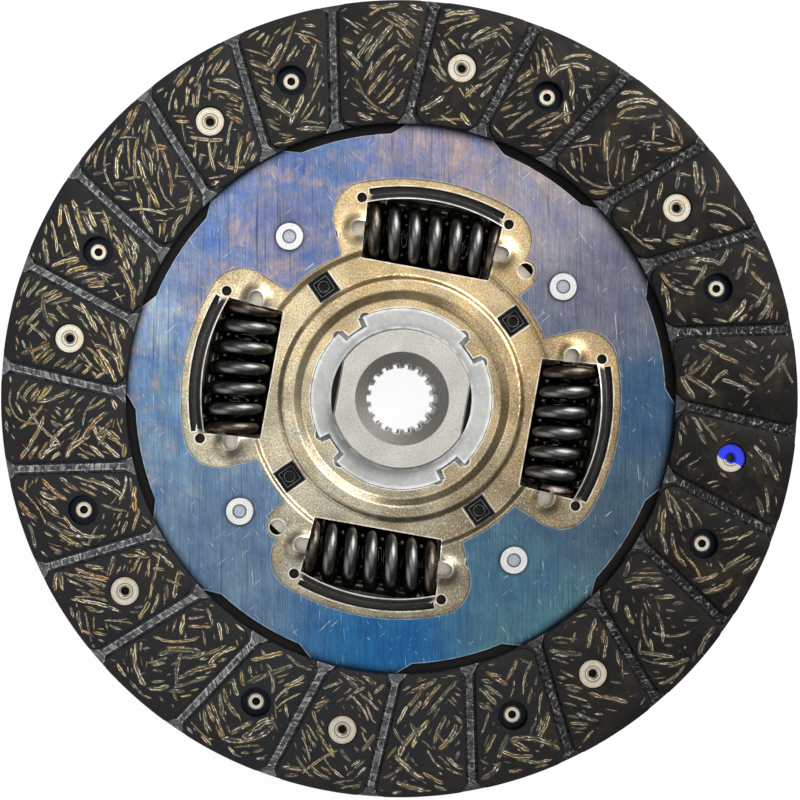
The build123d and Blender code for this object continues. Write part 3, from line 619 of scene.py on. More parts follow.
def pin_steel():
    """Bright zinc on the stop pins: turned heads, with a painted dark bluish reflection in their dimples."""
    s = Shader("pin_steel", Metallic=0.9, Roughness=0.26)
    from_axis = s.from_nearest(PIN_CIRCLE_R, PIN_COUNT, 180 / PIN_COUNT)
    grain = s.noise(0.5, 3, 0.75)
    rings = s.turned(from_axis, 0.55)
    colour = s.toned(s.mix(grain, 0.48, 1.0), rings, 0.86, 1.0)
    # A painted reflection, dark and bluish, in each dimple.
    dimple_reflection = s.edge(from_axis, PIN_DIMPLE_R + 0.2, PIN_DIMPLE_R - 0.1)
    colour = s.mix(dimple_reflection, colour, s.mix(grain, (0.16, 0.18, 0.21), (0.60, 0.64, 0.70)))
    brink = s.band(from_axis, PIN_DIMPLE_R - 0.1, PIN_DIMPLE_R + 0.1, 0.2)
    colour = s.shade(s.mix(brink * 0.7, colour, (0.03, 0.03, 0.04)), 1.2, 0.2)
    return s.finished(colour, (rings, 0.02, 0.6), (grain, 0.02, 0.5))


def rivet_steel(name, first_angle, painted):
    """Tinned rivets on their circle: turning marks, tan stains, a bore painted black as shade, blue paint on
    one head.
    """
    s = Shader(name, Metallic=0.85, Roughness=0.3)
    from_axis = s.from_nearest(RIVET_CIRCLE_R, RIVET_COUNT, first_angle)
    grain = s.noise(0.4, 3, 0.75)
    rings = s.turned(from_axis, 0.6)
    stain = s.ramp(s.noise(2.0, 2), 0.48, 0.72)
    colour = s.toned(s.mix(grain, (0.30, 0.27, 0.21), (0.95, 0.90, 0.77)), rings, 0.8, 1.1)
    colour = s.mix(stain * 0.75, colour, (0.60, 0.43, 0.23))
    dip = s.band(from_axis, RIVET_DIP_R - 0.05, RIVET_DIP_R + 0.05, 0.3)
    colour = s.mix(dip * 0.75, colour, (0.08, 0.075, 0.06))
    if painted:
        x, y, height = s.xyz()
        centre = (*polar(RIVET_CIRCLE_R * MM, first_angle), 0)
        ragged = s.noise(2.2, 2) * 0.003 + s.toward(60, centre)
        off_centre = s.distance(s.vector(x, y), centre)
        on_head = s.edge(off_centre, RIVET_HEAD_R + 0.5, RIVET_HEAD_R) * s.edge(height, 0, 0.5)
        paint = s.edge(ragged, 0.4, 0.7) * on_head
        colour = s.mix(paint, colour, s.mix(grain, (0.0, 0.004, 0.5), (0.012, 0.05, 1.0)))
        s.set("Metallic", s.ramp(paint, 0.0, 1.0, 0.85, 0.2))
    # The bore is painted black as shade.
    bore = s.edge(from_axis, RIVET_BORE_R + 0.05, RIVET_BORE_R - 0.1)
    colour = s.shade(s.mix(bore, colour, 0.003), 1.0, 0.1)
    return s.finished(colour, (grain, 0.02, 0.5), (rings, 0.02, 0.6))


def white_plastic():
    """Milky nylon that lets a little light in, its edges made whiter as wear and as a painted edge
    highlight.
    """
    s = Shader("white_plastic", Roughness=0.34, Subsurface_Weight=0.2, Subsurface_Scale=3 * MM)
    streak = s.ramp(s.noise(1.2, 3, 0.7), 0.55, 0.75)
    colour = s.mix(s.noise(3.5, 3, 0.65), (0.34, 0.342, 0.33), (0.64, 0.642, 0.62))
    colour = s.shade(s.mix(streak * 0.5, colour, (0.78, 0.79, 0.79)), 2.2, 0.1)
    return s.finished(s.wear_and_edge_highlight(colour, (0.95, 0.95, 0.96), 1.1))


def black_plastic():
    """Black glass-filled nylon, its edges made grey as wear and as a painted edge highlight."""
    s = Shader("black_plastic", Roughness=0.3, Specular_IOR_Level=0.06)
    grain = s.noise(0.5, 4, 0.7)
    colour = s.mix(grain, (0.0008, 0.0008, 0.001), (0.010, 0.010, 0.011))
    return s.finished(s.wear_and_edge_highlight(colour, 0.5, 0.14, 0.8), (grain, 0.03, 0.5))


FRICTION = friction_base()
GROOVE = groove_floor()
FIBRE = fibre()
# The retaining plate and its lips: painted shade that reaches 14 mm, near black deep in the spring windows.
DEEP_SHADE_GOLD = gold_plate("gold_plate_deep_shade", 14.0, 0.04)
OUTER_SPRING = spring_steel("outer_spring_steel", 0.15)
INNER_SPRING = spring_steel("inner_spring_steel", 0.12)
BLACK_PLASTIC = black_plastic()

for node_name, mat in (
    ("cover_plate", gold_plate("gold_plate", 4.0, 0.3)),
    ("retaining_plate", DEEP_SHADE_GOLD),
    ("cushion_plate", blued_steel()),
    ("hub", hub_steel()),
    ("facing_rivets_front", rivet_steel("rivet_steel_front", 0.0, True)),
    ("facing_rivets_rear", rivet_steel("rivet_steel_rear", -RIVET_PAIR_ANGLE, False)),
    ("stop_pins", pin_steel()),
    ("guide_bush", white_plastic()),
    ("front_friction_washer", BLACK_PLASTIC),
    ("rear_friction_washer", BLACK_PLASTIC),
    ("disc_spring", disc_spring_steel()),
):
    slots = nodes[node_name].data.materials
    if len(slots):
        slots[0] = mat
    else:
        slots.append(mat)

# ---------------------------------------------------------------- facings
PAD_Z = FACE_Z - 0.03
FLOOR_OF_GROOVE = FACE_Z - GROOVE_DEPTH
EDGE_DROP = 0.22  # height and width of a pad's rounded edge
EDGE_IN = 0.3
FOOT_OUT = 0.06
FOLD_SPACING = 0.5  # of the points on a groove's floor
FOLD_JITTER = 0.12
FOLD_DEPTH = 0.22
RIM = unit_circle(720)
CIRCLE = unit_circle(44)


def rivet_places(first_angle):
    return [polar(RIVET_CIRCLE_R, first_angle + 360 / RIVET_COUNT * i) for i in range(RIVET_COUNT)]


HEADED = rivet_places(0)
CLEARED = rivet_places(-RIVET_PAIR_ANGLE)
GROOVE_AHEAD = np.array([polar(1, GROOVE_ANGLE + GROOVE_STEP * i) for i in range(GROOVE_COUNT)])
GROOVE_SIDE = quarter_turn(GROOVE_AHEAD)


def corner_points(corner, back, ahead, radius, steps=7):
    """Points of a fillet at a corner, from the unit directions of its two sides."""
    half = math.acos(np.clip(back @ ahead, -1, 1)) / 2
    reach = radius / math.tan(half)
    middle = (back + ahead) / np.linalg.norm(back + ahead)
    centre = corner + middle * radius / math.sin(half)
    start = corner + back * reach - centre
    end = corner + ahead * reach - centre
    a0 = math.atan2(start[1], start[0])
    turn = (math.atan2(end[1], end[0]) - a0 + math.pi) % (2 * math.pi) - math.pi
    angles = a0 + turn * np.linspace(0, 1, steps)
    return [centre + radius * np.array([math.cos(a), math.sin(a)]) for a in angles]


def pad_outline(index, outer_r, inner_r, step=1.1):
    """Outline of the pad between one groove and the next, anticlockwise, with rounded corners."""
    first = GROOVE_ANGLE + GROOVE_STEP * index
    sides = ((first, GROOVE_OFFSET + GROOVE_W / 2), (first + GROOVE_STEP, GROOVE_OFFSET - GROOVE_W / 2))

    def corner(side, radius, fillet_r):
        """Where a side meets a rim; the outline runs out along the first side and back along the other."""
        angle, offset = sides[side]
        bearing = angle + math.degrees(math.asin(offset / radius))
        along = polar(1, angle) if radius == inner_r else -polar(1, angle)
        rim = polar(1, bearing + (90 if side == 0 else -90))
        rim_first = (side == 0) == (radius == inner_r)
        back, ahead = (rim, along) if rim_first else (along, rim)
        return corner_points(polar(radius, bearing), back, ahead, fillet_r)

    def line(a, b):
        count = max(2, int(np.linalg.norm(b - a) / step))
        return [a + (b - a) * i / count for i in range(1, count)]

    def arc(radius, a, b):
        start, end = (math.degrees(math.atan2(p[1], p[0])) % 360 for p in (a, b))
        turn = (end - start + 180) % 360 - 180
        count = max(2, int(abs(math.radians(turn)) * radius / step))
        return [polar(radius, start + turn * i / count) for i in range(1, count)]

    c1 = corner(0, inner_r, PAD_INNER_CORNER)
    c2 = corner(0, outer_r, PAD_OUTER_CORNER)
    c3 = corner(1, outer_r, PAD_OUTER_CORNER)
    c4 = corner(1, inner_r, PAD_INNER_CORNER)
    points = c1 + line(c1[-1], c2[0]) + c2 + arc(outer_r, c2[-1], c3[0])
    points += c3 + line(c3[-1], c4[0]) + c4 + arc(inner_r, c4[-1], c1[0])
    outline = np.array(points)
    radii = radii_of(outline)
    return outline * (np.clip(radii, inner_r, outer_r) / radii)[:, None]


def offset_loop(loop, distance):
    """The loop moved inwards by a distance; it runs anticlockwise."""
    ahead = unit_rows(np.roll(loop, -1, 0) - loop)
    back = unit_rows(loop - np.roll(loop, 1, 0))
    return loop + quarter_turn(unit_rows(ahead + back)) * distance


def inside(points, loop):
    """Which points lie inside a closed loop."""
    x, y = points[:, 0], points[:, 1]
    result = np.zeros(len(points), bool)
    for (x0, y0), (x1, y1) in zip(loop, np.roll(loop, -1, 0)):
        crosses = (y0 > y) != (y1 > y)
        with np.errstate(divide="ignore", invalid="ignore"):
            at = (x1 - x0) * (y - y0) / (y1 - y0) + x0
        result ^= crosses & (x < at)
    return result


def groove_places(points):
    """Each point's place along and across the nearest groove, and the groove's number."""
    across = points @ GROOVE_SIDE.T - GROOVE_OFFSET
    along = points @ GROOVE_AHEAD.T
    which = np.argmin(np.where(along > 0, np.abs(across), np.inf), axis=1)
    rows = np.arange(len(points))
    return along[rows, which], across[rows, which], which


class FlatFigure:
    """Points in a plane, each with a height, and the closed loops that they form."""

    def __init__(self):
        self.points = []
        self.heights = []
        self.loops = []

    def add(self, points, z, closed=True):
        if closed:
            self.loops.append((sum(len(p) for p in self.points), len(points)))
        self.points.append(points)
        self.heights.append(np.full(len(points), z))

    def triangles(self, inner_r, holes):
        """Points, heights and faces of the ring without its holes, with every loop's sides kept."""
        points = np.vstack(self.points)
        edges = [(start + i, start + (i + 1) % count) for start, count in self.loops for i in range(count)]
        result = delaunay_2d_cdt([Vector(p) for p in points], edges, [], 0, 1e-6)
        planar = np.array([tuple(v) for v in result[0]])
        faces = [list(face) for face in result[2]]
        if len(planar) != len(points):
            raise RuntimeError("the facing's outline crosses itself")
        centres = np.array([planar[face].mean(0) for face in faces])
        keep = (radii_of(centres) < FACING_OUTER_R) & (radii_of(centres) > inner_r)
        for place, hole_r in holes:
            keep &= radii_of(centres - place) > hole_r
        return planar, np.concatenate(self.heights), [face for face, kept in zip(faces, keep) if kept]


def add_floor_points(figure, rng, inner_r):
    """Points on the groove floors, for the folds."""
    for index in range(GROOVE_COUNT):
        # A band wider and longer than any groove, cut to the floor below
        s, t = np.meshgrid(np.arange(70, 116, FOLD_SPACING), np.arange(-5, 5.1, FOLD_SPACING))
        s = s.ravel() + rng.uniform(-FOLD_JITTER, FOLD_JITTER, s.size)
        t = t.ravel() + rng.uniform(-FOLD_JITTER, FOLD_JITTER, t.size)
        field = s[:, None] * GROOVE_AHEAD[index] + (t + GROOVE_OFFSET)[:, None] * GROOVE_SIDE[index]
        radii = radii_of(field)
        field = field[(radii > inner_r + 0.3) & (radii < FACING_OUTER_R - 0.3)]
        for pad in (index - 1, index):
            wider = offset_loop(pad_outline(pad, FACING_OUTER_R, inner_r, 3), -0.25)
            field = field[~inside(field, wider)]
        figure.add(field, FLOOR_OF_GROOVE, closed=False)


def groove_folds(along, across, which, rng):
    """Height of the folds that cross a groove floor."""
    lean = rng.uniform(-0.9, 0.9, GROOVE_COUNT)[which]
    phase = rng.uniform(0, 6, GROOVE_COUNT)[which]
    s = along + lean * across + 0.6 * np.sin(across * 2.1 + along * 0.7 + phase)
    large = np.abs(np.sin(s * 1.25 + phase)) ** 0.6 - 0.6
    small = np.sin(s * 3.7 + across * 2.3) * 0.35
    return FOLD_DEPTH * (large + small)


def groove_tints(planar, inner_r):
    """How bright the foil is: most on one side of the disc, and at the grooves' inner ends."""
    angle = np.arctan2(planar[:, 1], planar[:, 0]) - math.radians(PHOTO_RIGHT)
    silver = smooth(0.36 + 0.8 * np.cos(angle - math.radians(192)))
    inner_end = 1 - smooth((radii_of(planar) - inner_r - 0.5) / 4)
    return grey_tints(np.clip(silver + 0.35 * inner_end, 0, 1))


def facing_front(parts, rng, inner_r):
    """Pads with rounded edges and folded groove floors."""
    figure = FlatFigure()
    figure.add(RIM * FACING_OUTER_R, FLOOR_OF_GROOVE)
    figure.add(RIM * inner_r, FLOOR_OF_GROOVE)
    for index in range(GROOVE_COUNT):
        foot = pad_outline(index, FACING_OUTER_R - 0.02, inner_r + 0.02)
        edge = offset_loop(foot, FOOT_OUT)
        figure.add(foot, FLOOR_OF_GROOVE)
        figure.add(edge, PAD_Z - EDGE_DROP)
        figure.add(offset_loop(edge, EDGE_IN * 0.35), PAD_Z - EDGE_DROP * 0.3)
        figure.add(offset_loop(edge, EDGE_IN), PAD_Z)
    for place in HEADED + CLEARED:
        figure.add(place + CIRCLE * (RIVET_SEAT_R + EDGE_IN * 0.6), PAD_Z)
    add_floor_points(figure, rng, inner_r)
    holes = [(place, RIVET_SEAT_R + EDGE_IN * 0.55) for place in HEADED + CLEARED]
    planar, z, faces = figure.triangles(inner_r, holes)
    along, across, which = groove_places(planar)
    fold = groove_folds(along, across, which, rng)
    radii = radii_of(planar)
    on_rim = (radii > FACING_OUTER_R - 0.15) | (radii < inner_r + 0.15)
    z = z + np.where(np.isclose(z, FLOOR_OF_GROOVE) & ~on_rim, fold, 0)
    low = [z[face].max() < FLOOR_OF_GROOVE + 0.6 for face in faces]
    verts = at_height(planar, z)
    parts.add(verts, [face for face, is_low in zip(faces, low) if not is_low], 0)
    floors = [face for face, is_low in zip(faces, low) if is_low]
    parts.add(verts, floors, 1, groove_tints(planar, inner_r), np.column_stack([along, across, which]))


def facing_sides(parts, inner_r):
    """Outer and inner walls, the back, and the walls of the rivet seats and clearance holes."""
    for radius, flip in ((FACING_OUTER_R, True), (inner_r, False)):
        rows = [at_height(RIM * radius, z) for z in (FLOOR_OF_GROOVE, FACING_BACK_Z)]
        parts.add(np.vstack(rows), ring_faces(2, len(RIM), flip=flip))
    back = FlatFigure()
    back.add(RIM * FACING_OUTER_R, FACING_BACK_Z)
    back.add(RIM * inner_r, FACING_BACK_Z)
    holes = [(place, RIVET_SHANK_R) for place in HEADED] + [(place, RIVET_SEAT_R) for place in CLEARED]
    for place, radius in holes:
        back.add(place + CIRCLE * radius, FACING_BACK_Z)
    planar, z, faces = back.triangles(inner_r, [(place, radius * 0.99) for place, radius in holes])
    parts.add(at_height(planar, z), [face[::-1] for face in faces])
    brink = [(RIVET_SEAT_R + EDGE_IN * 0.6, PAD_Z), (RIVET_SEAT_R + 0.05, PAD_Z - 0.08)]
    brink.append((RIVET_SEAT_R, PAD_Z - EDGE_DROP))
    seat = brink + [(RIVET_SEAT_R, SEAT_Z), (RIVET_SHANK_R, SEAT_Z), (RIVET_SHANK_R, FACING_BACK_Z)]
    through = brink + [(RIVET_SEAT_R, FACING_BACK_Z)]
    for places, profile in ((HEADED, seat), (CLEARED, through)):
        for place in places:
            rows = [at_height(place + CIRCLE * radius, z) for radius, z in profile]
            parts.add(np.vstack(rows), ring_faces(len(rows), len(CIRCLE)))


# Colours of the ground yarn: share of the strokes and colour of its bright strands
YARNS = (
    (0.34, (0.78, 0.66, 0.42)),
    (0.38, (0.62, 0.46, 0.19)),
    (0.07, (0.58, 0.33, 0.11)),
    (0.21, (0.44, 0.40, 0.26)),
)
YARN_WAVES = 8  # waves of the wound yarn in one turn
YARN_SWING = 15.5
YARN_DEPTH = 0.003  # how far the highest yarn stays under the friction face
YARN_LENGTHS = (1.5, 3.5, 6.5, 10, 15)
YARN_LENGTH_SHARES = (0.30, 0.20, 0.20, 0.18, 0.12)
YARN_STEP = 0.7
YARN_MARGIN = 0.7
PATCH_SIZE = 11.0  # of the areas in which the yarn runs one way
TAKEN_CELL = 0.4
STROKE_TRIES = 30000
STROKE_LIMIT = 1400


def yarn_direction(radius, family):
    """Direction of the wound yarn, as an angle from the radius in radians."""
    middle = (FACING_OUTER_R + FACING_INNER_R) / 2
    u = np.clip((radius - middle) / YARN_SWING, -0.97, 0.97)
    slope = YARN_SWING * YARN_WAVES / radius * math.sqrt(1 - u * u)
    return math.pi / 2 - family * math.atan(slope)


def stroke_path(rng, start, length, family, is_open):
    """Points of a stroke that runs both ways from its start along the winding, as far as the pad goes."""
    wobble = rng.uniform(-0.2, 0.2)
    drift = rng.uniform(-0.1, 0.1)
    path = [start]
    for sign in (1, -1):
        p = start
        walked = 0
        reach = length * rng.uniform(0.35, 0.65)
        strand = []
        while walked < reach:
            a = math.atan2(p[1], p[0]) + yarn_direction(math.hypot(*p), family)
            a += wobble + drift * walked * sign + rng.uniform(-0.1, 0.1)
            p = p + sign * YARN_STEP * np.array([math.cos(a), math.sin(a)])
            if not is_open(p):
                break
            strand.append(p)
            walked += YARN_STEP
        path = path + strand if sign == 1 else strand[::-1] + path
    return np.array(path)


def fibres(parts, rng, inner_r):
    """Strokes of ground yarn on the pads, laid along the two crossing families of the winding."""
    size = int(2 * FACING_OUTER_R / TAKEN_CELL) + 4
    taken = np.zeros((size, size), np.int8)
    patch_seed = rng.uniform(0, 1000, 2)
    inner, outer = inner_r + 1.0, FACING_OUTER_R - 1.3
    holes = np.array(HEADED + CLEARED)
    made = 0

    def is_open(p):
        """Whether a point is on a pad, clear of its edges and of the rivets."""
        if not inner < math.hypot(*p) < outer:
            return False
        across = np.abs(GROOVE_SIDE @ p - GROOVE_OFFSET)
        if (across[GROOVE_AHEAD @ p > 0] < GROOVE_W / 2 + YARN_MARGIN).any():
            return False
        return (radii_of(holes - p) > RIVET_SEAT_R + 0.9).all()

    def cells_of(points):
        return tuple(((points + FACING_OUTER_R) / TAKEN_CELL).astype(int).T)

    for _ in range(STROKE_TRIES):
        if made >= STROKE_LIMIT:
            break
        radius = math.sqrt(rng.uniform(inner**2, outer**2))
        # Fewer strokes by the rim, and on the side that is dull in the photograph
        if radius > FACING_OUTER_R - 5 and rng.random() < 0.5:
            continue
        theta = rng.uniform(0, 2 * math.pi)
        dull_side = 0.5 + 0.5 * math.cos(theta - math.radians(PHOTO_RIGHT + 5))
        start = np.array([radius * math.cos(theta), radius * math.sin(theta)])
        if rng.random() < 0.75 * dull_side or not is_open(start):
            continue
        px, py = start / PATCH_SIZE + patch_seed
        patch = math.sin(px * 2.1 + 1.7 * math.sin(py * 1.3)) + math.sin(py * 2.4 + 1.3 * math.sin(px * 1.9))
        family = 1 if patch > 0 else -1
        if rng.random() < 0.08:
            family = -family
        length = rng.choice(YARN_LENGTHS, p=YARN_LENGTH_SHARES) * rng.uniform(0.8, 1.2)
        length *= 1 - 0.25 * dull_side
        path = stroke_path(rng, start, length, family, is_open)
        if len(path) < 2 or taken[cells_of(path)].mean() > 0.15:
            continue
        width = rng.uniform(0.6, 1.9) * (0.45 + 0.55 * min(1, length / 7))
        side = quarter_turn(unit_rows(np.gradient(path, axis=0)))
        for shift in (-0.5, -0.25, 0, 0.25, 0.5):
            taken[cells_of(path + side * width * shift * 1.3)] = 1
        made += 1
        # Painted light: strokes are brighter towards one side of the disc and dimmer towards the other.
        level = 0.86 - 0.2 * math.cos(theta - math.radians(PHOTO_RIGHT - 20))
        add_stroke(parts, rng, path, side, width, made, level)


def add_stroke(parts, rng, path, side, width, number, level):
    """One stroke of yarn: a flat ribbon with tapered ends, on which the shader draws the strands."""
    count = len(path)
    steps = np.linalg.norm(np.diff(path, axis=0), axis=1)
    along = np.concatenate([[0], np.cumsum(steps)])
    from_end = np.minimum(along, along[-1] - along)
    taper = np.clip(from_end / 1.4, 0, 1) ** 0.7
    half = width / 2 * (0.35 + 0.65 * taper) * (1 + rng.uniform(-0.12, 0.12, count))
    across = np.array([-1, 1])
    rows = path[:, None, :] + side[:, None, :] * (half[:, None] * across)[:, :, None]
    z = FACE_Z - YARN_DEPTH - 0.02 * rng.random()
    shares = np.array([share for share, _ in YARNS])
    kind = rng.choice(len(YARNS), p=shares / shares.sum())
    colours = np.ones((count, 2, 4))
    # The level is painted light, brightening the stroke towards one side of the disc.
    colours[:, :, :3] = np.array(YARNS[kind][1]) * rng.uniform(0.5, 1.25) * level
    colours[:, :, 3] = np.clip(level * smooth(0.15 + from_end / 0.8), 0, 1)[:, None]
    lay = np.full((count, 2, 3), float(number))
    lay[:, :, 0] = along[:, None]
    lay[:, :, 1] = across
    faces = ring_faces(count, 2, closed=False, flip=True)
    parts.add(at_height(rows.reshape(-1, 2), z), faces, 2, colours.reshape(-1, 4), lay.reshape(-1, 3))


def make_facing(name, node, seed, inner_r, rear):
    """A friction facing; the rear one is turned over, its rivet seats behind the front one's clear holes."""
    rng = np.random.default_rng(seed)
    parts = MeshParts()
    facing_front(parts, rng, inner_r)
    facing_sides(parts, inner_r)
    fibres(parts, rng, inner_r)
    verts, faces, slots, tints, lay = parts.arrays()
    if rear:
        turn = Matrix.Rotation(math.radians(-RIVET_PAIR_ANGLE), 3, "Z") @ Matrix.Rotation(math.pi, 3, "X")
        verts = verts @ np.array(turn).T
    piece = make_object(name, verts, faces, (FRICTION, GROOVE, FIBRE), slots, 35, tints, lay)
    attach(piece, "disc_body")
    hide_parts(node)


make_facing("facing_front_pads", "facing_front", 11, FACING_INNER_R, False)
make_facing("facing_rear_pads", "facing_rear", 23, REAR_FACING_INNER_R, True)

# ---------------------------------------------------------------- springs
SPRING_R = 47.3
SPRING_Z = -6.95
SPRING_LENGTH = 37.1
WINDOW_FLARE = math.tan(math.radians(4.3)) / (SPRING_LENGTH / 2)  # the windows widen outwards
CLOSED_TURNS = 0.7
CLOSED_PITCH = 1.02  # of the closed turns, as a share of the wire's thickness
OPENING_TURNS = 0.3  # over which the pitch opens out
BROWN_TURNS = 0.55
GROUND_OFF = 0.07  # share of the wire's thickness
STEPS_PER_TURN = 44
WIRE_SIDES = 16


def spin_of(pocket):
    """The turn from the first pocket to another."""
    return np.array(Matrix.Rotation(math.radians(90 * (pocket - 1)), 3, "Z"))


def make_spring(name, pocket, outer_d, wire_d, turns, hand, first_front, mat):
    """A coil of round wire with closed, ground ends, fanned out to fit the pocket of that number.

    first_front is the part of a turn from the wire's tip to where it first passes the front.
    """
    count = int(turns * STEPS_PER_TURN)
    turn = np.linspace(0, turns, count + 1)
    closed_pitch = wire_d * CLOSED_PITCH
    span = SPRING_LENGTH + 2 * wire_d * GROUND_OFF
    free_pitch = (span - 2 * CLOSED_TURNS * closed_pitch) / (turns - 2 * CLOSED_TURNS)
    from_end = np.minimum(turn, turns - turn)
    opened = smooth((from_end - CLOSED_TURNS + OPENING_TURNS / 2) / OPENING_TURNS)
    pitch = closed_pitch + (free_pitch - closed_pitch) * opened
    travel = np.concatenate([[0], np.cumsum((pitch[1:] + pitch[:-1]) / 2)])
    y = span / 2 - travel / travel[-1] * span
    r = (outer_d - wire_d) / 2
    a = 2 * math.pi * (turn - first_front) + math.pi / 2
    line = np.stack([hand * r * np.cos(a), y, r * np.sin(a)], 1)
    ahead = unit_rows(np.gradient(line, axis=0))
    out = line * (1, 0, 1) / r
    third = np.cross(ahead, out)
    across, up = unit_circle(WIRE_SIDES).T
    ring = out[:, None] * across[None, :, None] + third[:, None] * up[None, :, None]
    verts = (line[:, None] + wire_d / 2 * ring).reshape(-1, 3)
    verts[:, 1] = np.clip(verts[:, 1], -SPRING_LENGTH / 2, SPRING_LENGTH / 2)
    verts[:, 1] *= 1 + verts[:, 0] * WINDOW_FLARE
    verts += np.array([SPRING_R, 0, SPRING_Z])
    brown = 1 - smooth((from_end - BROWN_TURNS) / 0.5)
    tints = grey_tints(np.repeat(brown, WIRE_SIDES))
    spin = spin_of(pocket)
    faces = tube_faces(count + 1, WIRE_SIDES)
    piece = make_object(f"{name}_{pocket}_coil", verts @ spin.T, faces, (mat,), None, 40, tints)
    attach(piece, "spring_body")
    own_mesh(piece)
    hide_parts(f"{name}_{pocket}")


for pocket, outer_front, inner_front in ((1, 0.55, 0.2), (2, 0.5, 0.4), (3, 0.38, 0.1), (4, 0.4, 0.6)):
    make_spring("outer_spring", pocket, 19.8, 4.5, 6.6, 1, outer_front, OUTER_SPRING)
    make_spring("inner_spring", pocket, 10.2, 2.4, 9.0, -1, inner_front, INNER_SPRING)

# ---------------------------------------------------------------- lips behind the springs
LIP_R = 10.9  # from the spring's axis to the inside of a lip
LIP_T = 0.6
LIP_HALF_LENGTH = 23.0
LIP_CLOSED_FROM = 18.2  # the lips meet between here and their ends
LIP_OUTER_ROOT = 50  # angles from straight behind the spring's axis
LIP_INNER_ROOT = 62
LIP_TIP = 13


def lip_arc(side, start, end, steps):
    """Directions from the spring's axis round its back, on one side from a start to an end angle."""
    angles = np.radians(np.linspace(start, end, steps))
    return np.stack([side * np.sin(angles), -np.cos(angles)], 1)


def lip_row(loop, y):
    """A lip's section at a place along the spring."""
    return np.column_stack([SPRING_R + loop[:, 0], np.full(len(loop), y), SPRING_Z + loop[:, 1]])


def make_lips():
    """The rolled lips of the retaining plate's windows, which hold the springs from behind."""
    parts = MeshParts()
    for pocket in range(1, 5):
        spin = spin_of(pocket)
        for side, root in ((-1, LIP_INNER_ROOT), (1, LIP_OUTER_ROOT)):
            arc = lip_arc(side, root, LIP_TIP, 16)
            tip = arc[-1] * (LIP_R + LIP_T / 2) - side * np.array([LIP_T * 0.35, 0])
            loop = np.vstack([arc * LIP_R, tip[None], arc[::-1] * (LIP_R + LIP_T)])
            middle = loop.mean(0)
            smaller = middle + (loop - middle) * 0.97
            sections = ((smaller, -1), (loop, -0.985), (loop, 0.985), (smaller, 1))
            rows = [lip_row(section, share * LIP_HALF_LENGTH) for section, share in sections]
            parts.add(np.vstack(rows) @ spin.T, tube_faces(4, len(loop), flip=side > 0))
        arc = lip_arc(-1, -LIP_OUTER_ROOT, LIP_INNER_ROOT, 40)
        loop = np.vstack([arc * LIP_R, arc[::-1] * (LIP_R + LIP_T)])
        for end in (-1, 1):
            rows = [lip_row(loop, end * y) for y in (LIP_CLOSED_FROM, LIP_HALF_LENGTH - 0.1)]
            parts.add(np.vstack(rows) @ spin.T, tube_faces(2, len(loop), flip=end < 0))
    verts, faces, *_ = parts.arrays()
    piece = make_object("retaining_plate_lips", verts, faces, (DEEP_SHADE_GOLD,), None, 30)
    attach(piece, "disc_body")


make_lips()

# ---------------------------------------------------------------- floor, light and camera
PHOTO_MM_PER_PIXEL = 0.2881
PHOTO_SIZE = 800
LEAN = 2.2
LENS = 96.0
SENSOR = 36.0
CENTRE_RIGHT = 0.66  # where the disc's centre lies in the picture, from its middle, in mm
CENTRE_UP = 0.38
FLOOR_HALF_SIZE = 3000
ZENITH_LIGHT = 1.05
HORIZON_LIGHT = 0.1
SKY_TILT = 14.0  # how far the brightest part of the sky leans towards the key light
SKY_BEARING = 50.0
SIDE_LIGHT = 0.8  # low in the sky at this bearing and opposite it
SIDE_BEARING = 36.0


def make_floor():
    """White to the camera and in reflections, with the object's shadow; plain and pale to other light."""
    mat = bpy.data.materials.new("white_floor")
    s = NodeTree(mat)
    s.nodes.clear()
    path = s.node("LightPath").outputs
    camera, glossy, clear = (Field(s, path[f"Is {ray} Ray"]) for ray in ("Camera", "Glossy", "Transmission"))
    seen = s.math("MAXIMUM", s.math("MAXIMUM", camera, glossy), clear)
    plain = s.field("BSDF", "BsdfDiffuse", 0.8)
    shadow = s.field("BSDF", "BsdfDiffuse", 0.12)
    glow = s.field("Emission", "Emission", 1.0, 0.93)
    white = s.field("Shader", "AddShader", shadow, glow)
    s.node("OutputMaterial", s.field("Shader", "MixShader", seen, plain, white))
    corners = np.array([(-1, -1), (1, -1), (1, 1), (-1, 1)]) * FLOOR_HALF_SIZE
    make_object("floor", at_height(corners, FLOOR_Z), [[0, 1, 2, 3]], (mat,))


def make_light(name, bearing, height, distance, size, power, colour=(1, 1, 1)):
    """A square soft light; bearing is an angle in the photograph, height an angle over the disc."""
    data = bpy.data.lights.new(name, "AREA")
    data.shape = "SQUARE"
    data.size = size
    data.energy = power
    data.color = colour
    lamp = bpy.data.objects.new(name, data)
    flat = polar(math.cos(math.radians(height)), bearing + PHOTO_RIGHT)
    lamp.location = Vector((*flat, math.sin(math.radians(height)))) * distance
    lamp.rotation_mode = "QUATERNION"
    lamp.rotation_quaternion = lamp.location.to_track_quat("Z", "Y")
    bpy.context.scene.collection.objects.link(lamp)


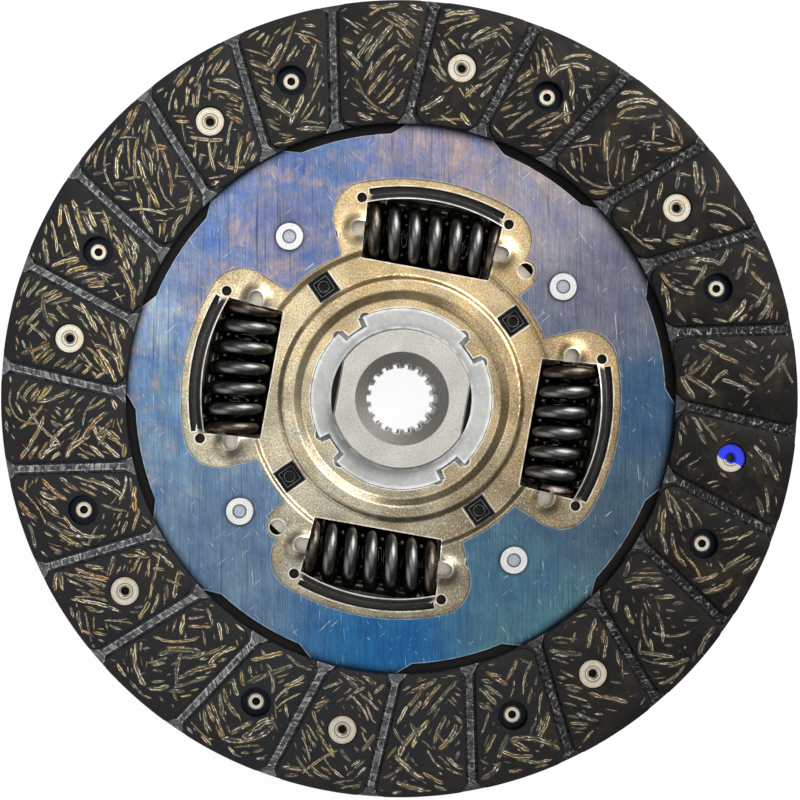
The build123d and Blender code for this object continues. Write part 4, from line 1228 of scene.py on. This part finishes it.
def make_world():
    """Soft light from above that fades towards the horizon; white where the camera sees it."""
    world = bpy.data.worlds.new("pale")
    bpy.context.scene.world = world
    s = NodeTree(world)
    back = s.nodes["Background"].inputs
    place = s.field("Generated", "TexCoord")

    def facing(bearing, tilt):
        """How much a place in the sky lies in a direction, tilted from straight up towards a bearing."""
        lean = math.radians(tilt)
        direction = (*polar(math.sin(lean), bearing + PHOTO_RIGHT), math.cos(lean))
        return s.field("Value", "VectorMath", place, direction, operation="DOT_PRODUCT")

    zenith = s.ramp(facing(SKY_BEARING, SKY_TILT), 0.6, 0.99, HORIZON_LIGHT, ZENITH_LIGHT)
    along = facing(SIDE_BEARING, 90)
    beside = facing(SIDE_BEARING + 90, 90)
    sides = s.ramp(along * along - beside * beside, 0.05, 0.55, 0.0, SIDE_LIGHT)
    light = s.math("MAXIMUM", zenith, sides)
    seen = s.field("Is Camera Ray", "LightPath")
    s.plug(back["Color"], 1.0)
    s.plug(back["Strength"], s.field("Result", "MapRange", seen, 0.0, 1.0, light, 1.0))


def make_camera():
    """The photograph's view: straight down on the disc, with a slight lean."""
    data = bpy.data.cameras.new("camera")
    data.lens = LENS
    data.sensor_width = SENSOR
    data.clip_start = 0.01
    camera = bpy.data.objects.new("camera", data)
    distance = PHOTO_MM_PER_PIXEL * PHOTO_SIZE * LENS / SENSOR
    turn = Matrix.Rotation(math.radians(PHOTO_RIGHT), 4, "Z") @ Matrix.Rotation(-math.radians(LEAN), 4, "Y")
    away = Matrix.Translation(Vector((-CENTRE_RIGHT, -CENTRE_UP, distance)) * MM)
    camera.matrix_world = Matrix.Translation((0, 0, FACE_Z * MM)) @ turn @ away
    bpy.context.scene.collection.objects.link(camera)
    bpy.context.scene.camera = camera


make_floor()
make_light("key", 48, 42, 0.9, 0.62, 6.5)
make_light("overhead", 150, 72, 0.9, 0.3, 0.5)
make_light("fill", 220, 35, 0.9, 0.6, 0.6, (0.92, 0.96, 1))
make_world()
make_camera()
bpy.context.scene.view_settings.view_transform = "Standard"
